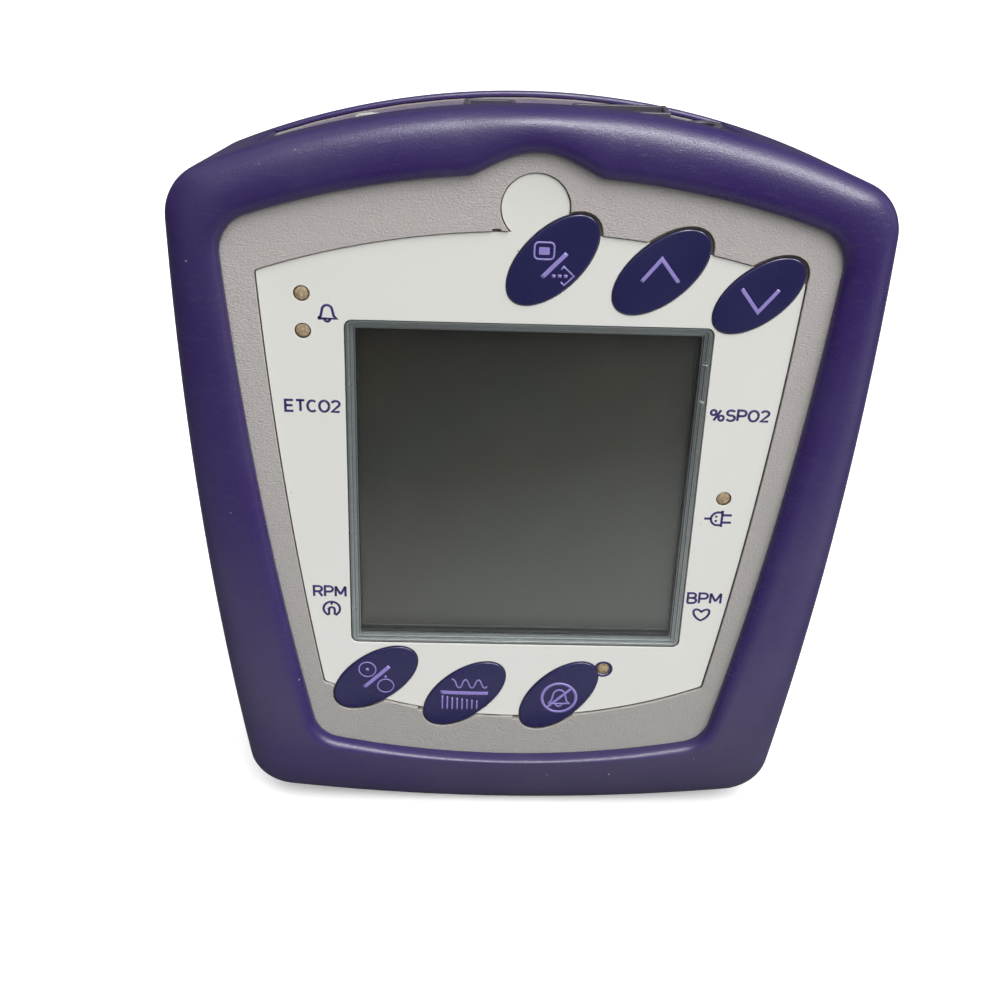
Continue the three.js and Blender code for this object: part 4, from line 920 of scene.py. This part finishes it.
def signs(name, shape):
    """The key's printed sign."""
    height = key_height(name)

    def line(points, width, closed=False):
        fine = []
        for a, b in zip(points, points[1:] + (points[:1] if closed else [])):
            start, end = Vector(a), Vector(b)
            parts = math.ceil((end - start).length / SIGN_STEP)
            fine += [start.lerp(end, k / parts) for k in range(parts)]
        ribbon(shape, fine if closed else fine + [Vector(points[-1])], width, height, closed, SIGN_LIFT)

    def patch(loop):
        blot(shape, loop, height, SIGN_LIFT)

    if name == "menu":
        screen = rounded_rectangle(5.2, 4.5, 1.1, (2.75, 72.3), 5)
        line([tuple(p) for p in screen], 0.5, True)
        patch(rounded_rectangle(2.8, 2.0, 0.15, (2.75, 72.3), 2))
        line([(2.4, 65.1), (8.7, 71.8)], 1.15)
        for x in (5.5, 7.1, 8.7):
            patch(rounded_rectangle(1.0, 0.9, 0.1, (x, 65.55), 1))
        line([(7.4, 67.3), (8.1, 68.2), (10.9, 65.6), (8.4, 63.0), (7.5, 63.9)], 0.45)
    elif name == "up":
        line([(28.9, 64.6), (33.9, 71.0), (38.9, 64.6)], 1.0)
    elif name == "down":
        line([(56.0, 63.4), (61.0, 57.0), (66.0, 63.4)], 1.0)
    elif name == "power":
        line(bow(-45.5, -61.3, 2.6, 2.6, 0, 350, 24), 0.4, True)
        patch(ellipse((-45.5, -61.3), 0.55, 0.55, steps=14))
        line([(-46.6, -67.9), (-38.7, -60.0)], 1.15)
        line(bow(-39.9, -67.3, 2.5, 2.5, 0, 350, 24), 0.4, True)
        patch(ellipse((-39.9, -63.9), 0.42, 0.42, steps=12))
    elif name == "waveform":
        wave = []
        for k in range(67):
            swing = math.cos(2 * math.pi * 2.75 * k / 66 - 0.5)
            wave.append((-19.4 + 11 * k / 66, -66.1 + 1.5 * math.copysign(abs(swing) ** 0.75, swing)))
        line(wave, 0.45)
        line([(-22.8, -69.4), (-8.0, -69.6)], 1.2)
        for k in range(8):
            x = -22.2 + 1.54 * k
            line([(x, -70.7 - 0.24 * k), (x, -75.9)], 0.5)
    else:
        hub = (14.3, -70.9)
        line(bow(*hub, 5.35, 5.35, 0, 352, 40), 0.9, True)
        for stroke in bell((hub[0], hub[1] + 0.1), 3.4):
            line(stroke, 0.55)
        line([(hub[0] - 3.7, hub[1] - 3.7), (hub[0] + 3.7, hub[1] + 3.7)], 0.8)


for name, centre in keys.items():
    shape = bmesh.new()
    rings = [[(*p, KEY_BACK) for p in key_loop(name)]]
    for k in range(5):
        angle = math.pi / 2 * k / 4
        depth = KEY_EDGE * (1 - math.cos(angle))
        z = KEY_TOP - KEY_CROWN * (1 - depth / KEY_SHORT) ** 2 - KEY_EDGE * (1 - math.sin(angle)) * 0.8
        rings.append([(*p, z) for p in key_loop(name, -depth)])
    for share in (0.8, 0.6, 0.4, 0.2, 0.05):
        z = KEY_TOP - KEY_CROWN * share**2
        rings.append([(*p, z) for p in key_loop(name, 0, share)])
    loft(shape, rings)
    stem = ellipse(centre, PLUNGER_RADIUS, PLUNGER_RADIUS, steps=32)
    loft(shape, [[(*p, z) for p in stem] for z in (PLUNGER_END, KEY_BACK + 0.3)])
    body = "key_" + name
    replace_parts(piece("cap_" + name, shape, key_navy, body), body)
    shape = bmesh.new()
    signs(name, shape)
    piece("sign_" + name, shape, lilac, body)

# ---- status lamps --------------------------------------------------------------------------------------
# Four small light-emitting diodes, cast in cloudy amber resin, look out through holes in the panel. The one
# by the alarm-silence key has a navy ring printed round it.

amber = Finish("lamp_amber", paint(186, 160, 126), 0.3, Transmission_Weight=0.15, IOR=1.5)
cloud = amber.spot.noise(1.1, 4)
amber.feed(
    Base_Color=cloud.ramp((0.35, paint(150, 122, 90)[:3]), (0.65, paint(206, 184, 150)[:3])),
    Roughness=cloud.between(0.2, 0.5),
    Normal=cloud.bump(0.06),
)
LAMP_BACK, LAMP_FRONT, LAMP_DOME, LAMP_EDGE = -5.2, -0.1, 0.7, 0.2
profile = [(LAMP_RADIUS - LAMP_EDGE, LAMP_BACK), (LAMP_RADIUS, LAMP_BACK + LAMP_EDGE)]
for k in range(7):
    angle = math.pi / 2 * k / 6.5
    profile.append((LAMP_RADIUS * math.cos(angle), LAMP_FRONT - LAMP_DOME * (1 - math.sin(angle))))
for name, centre in lamps.items():
    shape = bmesh.new()
    loft(shape, [[(*p, z) for p in ellipse(centre, r, r, steps=48)] for r, z in profile])
    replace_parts(piece("lens_of_" + name, shape, amber), name)

RING_REACH, RING_WIDTH = 2.55, 0.74
shape = bmesh.new()
ribbon(shape, ellipse(lamps["lamp_silence"], RING_REACH, RING_REACH, steps=40), RING_WIDTH, closed=True)
piece("lamp_ring", shape, ink)

# ---- window lens ---------------------------------------------------------------------------------------
# A clear acrylic window. Its rim steps down in ledges to a flat floor, its flange sits behind the bezel on a
# foam gasket, and short gate marks are left in the rim where it was moulded.

clear = Finish("clear_lens", (0.93, 0.96, 0.96, 1), 0.03, Transmission_Weight=1.0, IOR=1.49)
spot = clear.spot
clear.feed(
    Roughness=spot.noise(0.05, 4).ramp((0.45, 0.02), (0.8, 0.09)),
    Normal=spot.noise(0.02, 1).bump(0.01),
)
LENS_STEPS = (  # inset from the window's edge, and height
    (-2.0, -4.8), (-2.0, -3.4), (-0.2, -3.3), (0.0, -3.1), (0.0, -0.55), (0.2, -0.3), (0.7, -0.3),
    (0.8, -0.6), (1.15, -0.62), (1.25, -0.95), (1.6, -1.0), (1.7, -1.35), (2.15, -1.4), (2.3, -1.85),
    (2.6, -1.9),
)
WINDOW_HEIGHT = 112  # of the window's centre over the floor
shape = bmesh.new()
rings = []
for reach, z in LENS_STEPS:
    corner = max(WINDOW[2] - reach * 0.6, 0.4)
    loop = rounded_rectangle(WINDOW[0] - 2 * reach, WINDOW[1] - 2 * reach, corner)
    rings.append([(*p, z) for p in loop])
loft(shape, rings)
window = piece("window", shape, clear, smooth=False)
frosted = Finish("clear_rim", paint(176, 186, 190), 0.12, Transmission_Weight=0.3, Metallic=0.45, IOR=1.49)
flow = frosted.spot.stretched(1, 1, 4).noise(0.35, 5)
from_side = abs(frosted.spot.part("X")) - WINDOW[0] / 2
from_end = abs(frosted.spot.part("Z") - WINDOW_HEIGHT) - WINDOW[1] / 2
rim_depth = from_side.most(from_end) * -0.38  # 0 at the window's edge, and 1 where its flat floor begins
# Light and dark bands along the ledges are painted highlights and shade lines, and the flow marks mixed in
# are the acrylic's own.
ledges = rim_depth.ramp(
    (0.0, 0.9), (0.1, 0.75), (0.16, 0.2), (0.24, 0.7), (0.42, 0.6), (0.48, 0.1), (0.56, 0.65), (0.78, 0.5),
    (0.85, 0.1), (0.95, 0.45),
)
frosted.feed(
    Base_Color=(ledges * 0.8 + flow * 0.2).mix(paint(30, 34, 34), paint(200, 208, 208)),
    Roughness=flow.between(0.03, 0.2),
    Normal=flow.bump(0.08),
)
window.data.materials.append(frosted.material)
for side in window.data.polygons:
    side.material_index = int(len(side.vertices) == 4)  # the ledges, but not the two flat faces
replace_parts(window, "window_lens")
GATES = (  # x, y, width and height
    (-49.2, 33, 2, 0.35), (-49.3, -14, 2, 0.3), (-49.2, -40, 2, 0.35), (-3, -50.6, 9, 1.4),
    (49.2, 41, 2, 0.4), (49.2, 30, 2, 0.4),
)
GATE_BACK, GATE_FRONT, GATE_EDGE = -1.2, -0.12, 0.12
shape = bmesh.new()
for x, y, wide, high in GATES:
    low = (x - wide / 2, y - high / 2, GATE_BACK)
    rounded_block(shape, low, (x + wide / 2, y + high / 2, GATE_FRONT), GATE_EDGE, 2)
piece("window_gates", shape, clear)

# ---- display -------------------------------------------------------------------------------------------
# The liquid-crystal module: a glass sandwich with a dull olive polariser, in a blackened steel frame with a
# light guide behind. A foam gasket seals it to the window.


def refined(node, finish, width=0.25, segments=2):
    """A copy of a CAD node with its flat faces merged and its edges rounded, to stand for it."""
    source = frame["nodes"][node]
    mesh = source.data.copy()
    made = bpy.data.objects.new(node + "_fine", mesh)
    bpy.context.collection.objects.link(made)
    work = bmesh.new()
    work.from_mesh(mesh)
    bmesh.ops.remove_doubles(work, verts=work.verts, dist=1e-6)
    bmesh.ops.dissolve_limit(work, angle_limit=math.radians(0.5), verts=work.verts, edges=work.edges)
    shade(work)
    work.to_mesh(mesh)
    work.free()
    mesh.materials.clear()
    mesh.materials.append(finish.material)
    if width:
        bevel = made.modifiers.new("edges", "BEVEL")
        bevel.width = width * MM
        bevel.segments = segments
        bevel.limit_method = "ANGLE"
        bevel.angle_limit = math.radians(40)
        bevel.harden_normals = False
    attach(made, source["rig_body"])
    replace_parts(made, node)


frame_black = Finish("frame_black", paint(34, 36, 34), 0.4, Metallic=0.2)
frame_black.vary(frame_black.spot.noise(0.4, 5), paint(26, 28, 27), paint(44, 46, 44), (0.3, 0.55), 0.03)
refined("display_frame", frame_black, 0.15)
foam_black = Finish("foam", paint(40, 40, 42), 0.95)
foam_black.vary(foam_black.spot.cells(2.2), paint(24, 24, 26), paint(56, 56, 58), (0.85, 1.0), 0.15)
for node in ("lens_gasket", "case_seal"):
    refined(node, foam_black, 0.1)

lcd = Finish("display_glass", paint(46, 47, 37), 0.22, Specular_IOR_Level=0.5)
spot = lcd.spot
depth_tone = spot.noise(0.012, 2).between(0.25, 0.75)
# The polariser is painted darker at the upper left and lighter at the lower right: a painted reflection, with
# a random tone on it.
slope = spot.toward((0.004, 0, -0.006)) + 1.15
stain = spot.noise(0.02, 2).ramp((0.4, 0.0), (0.7, 1.0))
olive = (slope.between(0, 0.8) * (depth_tone * 0.6 + 0.7)).mix(paint(32, 33, 26), paint(74, 76, 68))
lcd.feed(
    Base_Color=(stain * 0.35).mix(olive, paint(60, 48, 34)),
    Roughness=spot.noise(0.3, 3).between(0.15, 0.3),
    Normal=spot.noise(0.05, 2).bump(0.01),
)
refined("display_glass", lcd, 0.1)
diffuser = Finish("diffuser", paint(214, 216, 206), 0.6, Transmission_Weight=0.2)
diffuser.vary(diffuser.spot.noise(0.2, 3), paint(206, 208, 198), paint(222, 224, 214), (0.5, 0.7), 0.01)
refined("display_backlight", diffuser, 0.2)

# ---- gas and electrical connectors ---------------------------------------------------------------------
# They stand in a row along the case's top, inside the boot's slot: the sample inlet with its ribbed collar,
# the exhaust spigot, a data socket, the sensor socket with its contacts, and the round power inlet.

PORT_LINE = -32.0  # the row's line behind the panel's face


def turned(x, profile, steps=64, ribs=0, rib_depth=0.0, ribbed=range(0)):
    """A closed ring of profile points (radius, y) turned about the upright axis of a connector."""
    shape = bmesh.new()
    rings = []
    for k in range(steps):
        angle = 2 * math.pi * k / steps
        groove = rib_depth * (0.5 - 0.5 * math.cos(ribs * angle))
        ring = []
        for i, (radius, y) in enumerate(profile):
            r = radius - groove if i in ribbed else radius
            ring.append(shape.verts.new((x + r * math.cos(angle), y, PORT_LINE + r * math.sin(angle))))
        rings.append(ring)
    for here, after in zip(rings, rings[1:] + rings[:1]):
        for i in range(len(profile)):
            shape.faces.new((here[i - 1], here[i], after[i], after[i - 1]))
    bmesh.ops.recalc_face_normals(shape, faces=shape.faces)
    return shape


def plastic(name, low, high, roughness, grain=0.03, scale=1.2):
    """A moulded plastic that wanders between two shades."""
    made = Finish(name, low, roughness)
    texture = made.spot.noise(scale, 4)
    worn = made.spot.noise(0.05, 4, 0.65)
    made.feed(
        Base_Color=worn.mix(low, high),
        Roughness=(texture * 0.2 + (roughness - 0.1)),
        Normal=texture.bump(grain),
    )
    return made


port_white = plastic("port_white", paint(172, 170, 165), paint(190, 188, 182), 0.4)
black_plastic = plastic("black_plastic", paint(40, 39, 43), paint(62, 60, 64), 0.5)
gold = Finish("contact_gold", paint(206, 168, 92), 0.25, Metallic=1.0)
gold.vary(gold.spot.noise(2.0, 3), paint(190, 150, 80), paint(220, 184, 108), (0.2, 0.4), 0.01)

# Each gas port's outline goes over its tip and down its outside: radius, and depth below the tip.
INLET_X, INLET_RIBS = -44.0, dict(steps=96, ribs=24, rib_depth=0.35, ribbed=range(8, 11))
inlet = [(1.3, 0.2), (1.5, 0), (2.0, 0), (2.2, 0.2), (2.4, 2.6), (3.6, 2.6), (3.8, 0.3), (4.1, 0), (4.6, 0),
         (4.95, 0.35), (5.0, 3.3), (7.0, 3.4), (7.0, 4.8), (3.4, 5.0)]
low, high = span("sample_port")
foot_ring = [(3.0, low.y + 2), (2.2, low.y), (1.5, low.y), (1.3, low.y + 0.3)]
shape = turned(INLET_X, [(r, high.y - down) for r, down in inlet] + foot_ring, **INLET_RIBS)
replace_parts(piece("sample_inlet", shape, port_white), "sample_port")
SPIGOT_X = -28.0
spigot = [(0.9, 0.2), (1.1, 0), (1.7, 0), (2.4, 2.2), (1.9, 2.4), (2.5, 4.6), (1.9, 4.8), (1.9, 6.0),
          (3.9, 6.2), (4.2, 6.6), (4.2, 8.2), (3.9, 8.6), (2.2, 8.8)]
low, high = span("exhaust_port")
foot_ring = [(1.8, low.y), (1.0, low.y), (0.9, low.y + 0.2)]
shape = turned(SPIGOT_X, [(r, high.y - down) for r, down in spigot] + foot_ring)
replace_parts(piece("exhaust_spigot", shape, black_plastic), "exhaust_port")
socket_grey = plastic("socket_grey", paint(62, 56, 70), paint(80, 73, 88), 0.5)
for node in ("data_socket", "sensor_socket", "power_socket"):
    refined(node, socket_grey, 0.35, 3)


def pin(shape, x, y, z, radius, length):
    """A rounded contact pin that points up."""
    profile = [(0.001, y), (radius, y), (radius, y + length - radius)]
    profile += [(radius * math.cos(a), y + length - radius * (1 - math.sin(a))) for a in (0.5, 1.0, 1.4)]
    rings = [[(x + r * math.cos(a), py, z - r * math.sin(a)) for a in (math.pi * k / 8 for k in range(16))]
             for r, py in profile]
    loft(shape, rings)


PINS = (("sensor_socket", 7, 2.6), ("data_socket", 4, 2.4))  # pins in the first of two rows, and their pitch
PIN_ROOT, PIN_RADIUS, PIN_LENGTH = 8.0, 0.45, 6.0
POWER_ROOT, POWER_RADIUS, POWER_LENGTH = 9.0, 1.0, 7.0
shape = bmesh.new()
for socket, most, pitch in PINS:
    low, high = span(socket)
    for row in range(2):
        in_row = most - row
        for column in range(in_row):
            x = (low.x + high.x) / 2 + pitch * (column - (in_row - 1) / 2)
            z = PORT_LINE + pitch * 0.8 * (0.5 - row)
            pin(shape, x, high.y - PIN_ROOT, z, PIN_RADIUS, PIN_LENGTH)
low, high = span("power_socket")
pin(shape, (low.x + high.x) / 2, high.y - POWER_ROOT, PORT_LINE, POWER_RADIUS, POWER_LENGTH)
bmesh.ops.recalc_face_normals(shape, faces=shape.faces)
piece("contacts", shape, gold)

# ---- rear case -----------------------------------------------------------------------------------------
# The back half of the case, in the same grey plastic: posts inside, a battery bay, a loudspeaker grille, and
# four countersunk screws. A hinged door with two finger grips covers the battery.

refined("rear_case", case_plastic, 0.5, 3)
refined("battery_door", case_plastic, 0.4, 3)
steel = Finish("steel", paint(176, 178, 180), 0.3, Metallic=1.0)
brushed = steel.spot.stretched(1, 1, 6).noise(1.5, 3)
steel.vary(brushed, paint(150, 152, 155), paint(190, 192, 194), (0.22, 0.42), 0.02)
for corner in ("upper_left", "upper_right", "lower_left", "lower_right"):
    for kind in ("case_screw_", "board_screw_"):
        refined(kind + corner, steel, 0.12)

label_white = Finish("label_film", paint(214, 215, 210), 0.35)
crease = label_white.spot.noise(0.15, 4)
label_white.vary(crease, paint(206, 206, 200), paint(220, 221, 217), (0.25, 0.45), 0.02)
LABEL_X, LABEL_Y, LABEL_CORNER = (-43.0, 38.0), (-3.0, 31.0), 3.0
LABEL_BACK, LABEL_FRONT = -47.2, -46.8
label_middle = ((LABEL_X[0] + LABEL_X[1]) / 2, (LABEL_Y[0] + LABEL_Y[1]) / 2)
label_size = (LABEL_X[1] - LABEL_X[0], LABEL_Y[1] - LABEL_Y[0])
shape = bmesh.new()
plate(shape, [rounded_rectangle(*label_size, LABEL_CORNER, label_middle)], LABEL_BACK, LABEL_FRONT)
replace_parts(piece("rating_label_film", shape, label_white), "rating_label")

RULE, RULE_MARGIN = 0.35, 3.0
RULE_LEVEL, RULE_LIFT = 0.03, -0.08  # they stand just clear of the label's back face


def label_height(x, y):
    return LABEL_BACK + RULE_LEVEL


grey_ink = Finish("label_ink", paint(70, 70, 84), 0.5)
grey_ink.vary(grey_ink.spot.noise(0.8, 4), paint(58, 58, 74), paint(92, 92, 104), (0.4, 0.6), 0.01)
left, right = LABEL_X[0] + RULE_MARGIN, LABEL_X[1] - RULE_MARGIN
low, high = LABEL_Y[0] + RULE_MARGIN, LABEL_Y[1] - RULE_MARGIN
rules = [[(left, low + (high - low) * k / 4), (right, low + (high - low) * k / 4)] for k in range(5)]
rules += [[(x, low), (x, high)] for x in (left, -10.0, 15.0, right)]
shape = bmesh.new()
for rule in rules:
    ribbon(shape, rule, RULE, label_height, lift=RULE_LIFT)
bmesh.ops.recalc_face_normals(shape, faces=shape.faces)
piece("label_rules", shape, grey_ink)

# ---- battery -------------------------------------------------------------------------------------------
# Five upright nickel-metal-hydride cells side by side, shrink-wrapped in blue film, stand in the bay behind
# the door and press on sprung contacts at its end.

CELL_COUNT, CELL_STEPS, WEB = 5, 24, 0.78  # the film bridges the cells at this share of their radius
CELL_ENDS = ((0.0, 0.82), (0.3, 0.92), (1.0, 0.985), (2.0, 1.0))  # how thick the pack is near its ends
END_NARROWING = 0.12  # as a share of how much it thins
low, high = span("battery_pack")
centre = (low + high) / 2
section = []
for k in range(CELL_COUNT * CELL_STEPS + 1):
    across = k / CELL_STEPS
    rise = math.sqrt(1 - (across % 1.0 * 2 - 1) ** 2)
    if 0.5 <= across <= CELL_COUNT - 0.5:
        rise = max(rise, WEB)
    if rise > 0.02:
        section.append(((high.x - low.x) * (across / CELL_COUNT - 0.5), (high.z - low.z) / 2 * rise))
section += [(x, -z) for x, z in reversed(section)]
rings = [(low.y + y, share) for y, share in CELL_ENDS]
rings += [(high.y - y, share) for y, share in reversed(CELL_ENDS)]
shape = bmesh.new()
loft(shape, [
    [(centre.x + x * (1 - (1 - share) * END_NARROWING), y, centre.z + z * share) for x, z in section]
    for y, share in rings
])
bmesh.ops.recalc_face_normals(shape, faces=shape.faces)
wrap = Finish("battery_wrap", paint(44, 78, 150), 0.28, Coat_Weight=0.2)
wrinkle = wrap.spot.stretched(1, 1, 3).noise(0.25, 5)
wrap.vary(wrinkle, paint(36, 66, 136), paint(56, 92, 168), (0.2, 0.4), 0.25)
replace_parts(piece("battery_cells", shape, wrap), "battery_pack")
refined("battery_contacts", black_plastic, 0.2)

# ---- keypad, boards and gas path -----------------------------------------------------------------------
# Inside: steel snap domes on the keypad board, the main board, the infrared gas bench, the sampling pump with
# its brass rotor, a small loudspeaker, and the silicone tubes that join the gas parts.

board_green = Finish("circuit_board", paint(34, 84, 58), 0.4)
spot = board_green.spot
tracks = spot.node("TexBrick", {}, {
    "Vector": spot.stretched(0.35, 1, 0.35), "Scale": 0.6, "Mortar Size": 0.06,
    "Color1": (0, 0, 0, 1), "Color2": (1, 1, 1, 1), "Mortar": (0.4, 0.4, 0.4, 1),
})
board_green.feed(
    Base_Color=tracks.mix(paint(26, 72, 48), paint(48, 104, 72)),
    Roughness=spot.noise(0.5).between(0.3, 0.5),
    Normal=tracks.bump(0.03),
)
for node in ("keypad_board", "main_board"):
    refined(node, board_green, 0.0)
for name in KEY_ANGLES:
    refined("switch_" + name, steel, 0.0)
refined("sample_pump", steel, 0.5)
brass = Finish("brass", paint(186, 150, 82), 0.3, Metallic=1.0)
turning = brass.spot.stretched(6, 1, 1).noise(1.0, 3)
brass.vary(turning, paint(164, 128, 64), paint(204, 170, 100), (0.2, 0.4), 0.03)
refined("pump_rotor", brass, 0.3)
for node in ("gas_bench", "speaker"):
    refined(node, black_plastic, 0.5)
silicone = Finish("silicone", paint(214, 212, 204), 0.35, Transmission_Weight=0.35, IOR=1.41)
silicone.vary(silicone.spot.noise(0.4, 3), paint(204, 200, 190), paint(226, 225, 218), (0.28, 0.45), 0.03)
for node in ("sample_tube", "pump_tube", "exhaust_tube"):
    refined(node, silicone, 0.0)
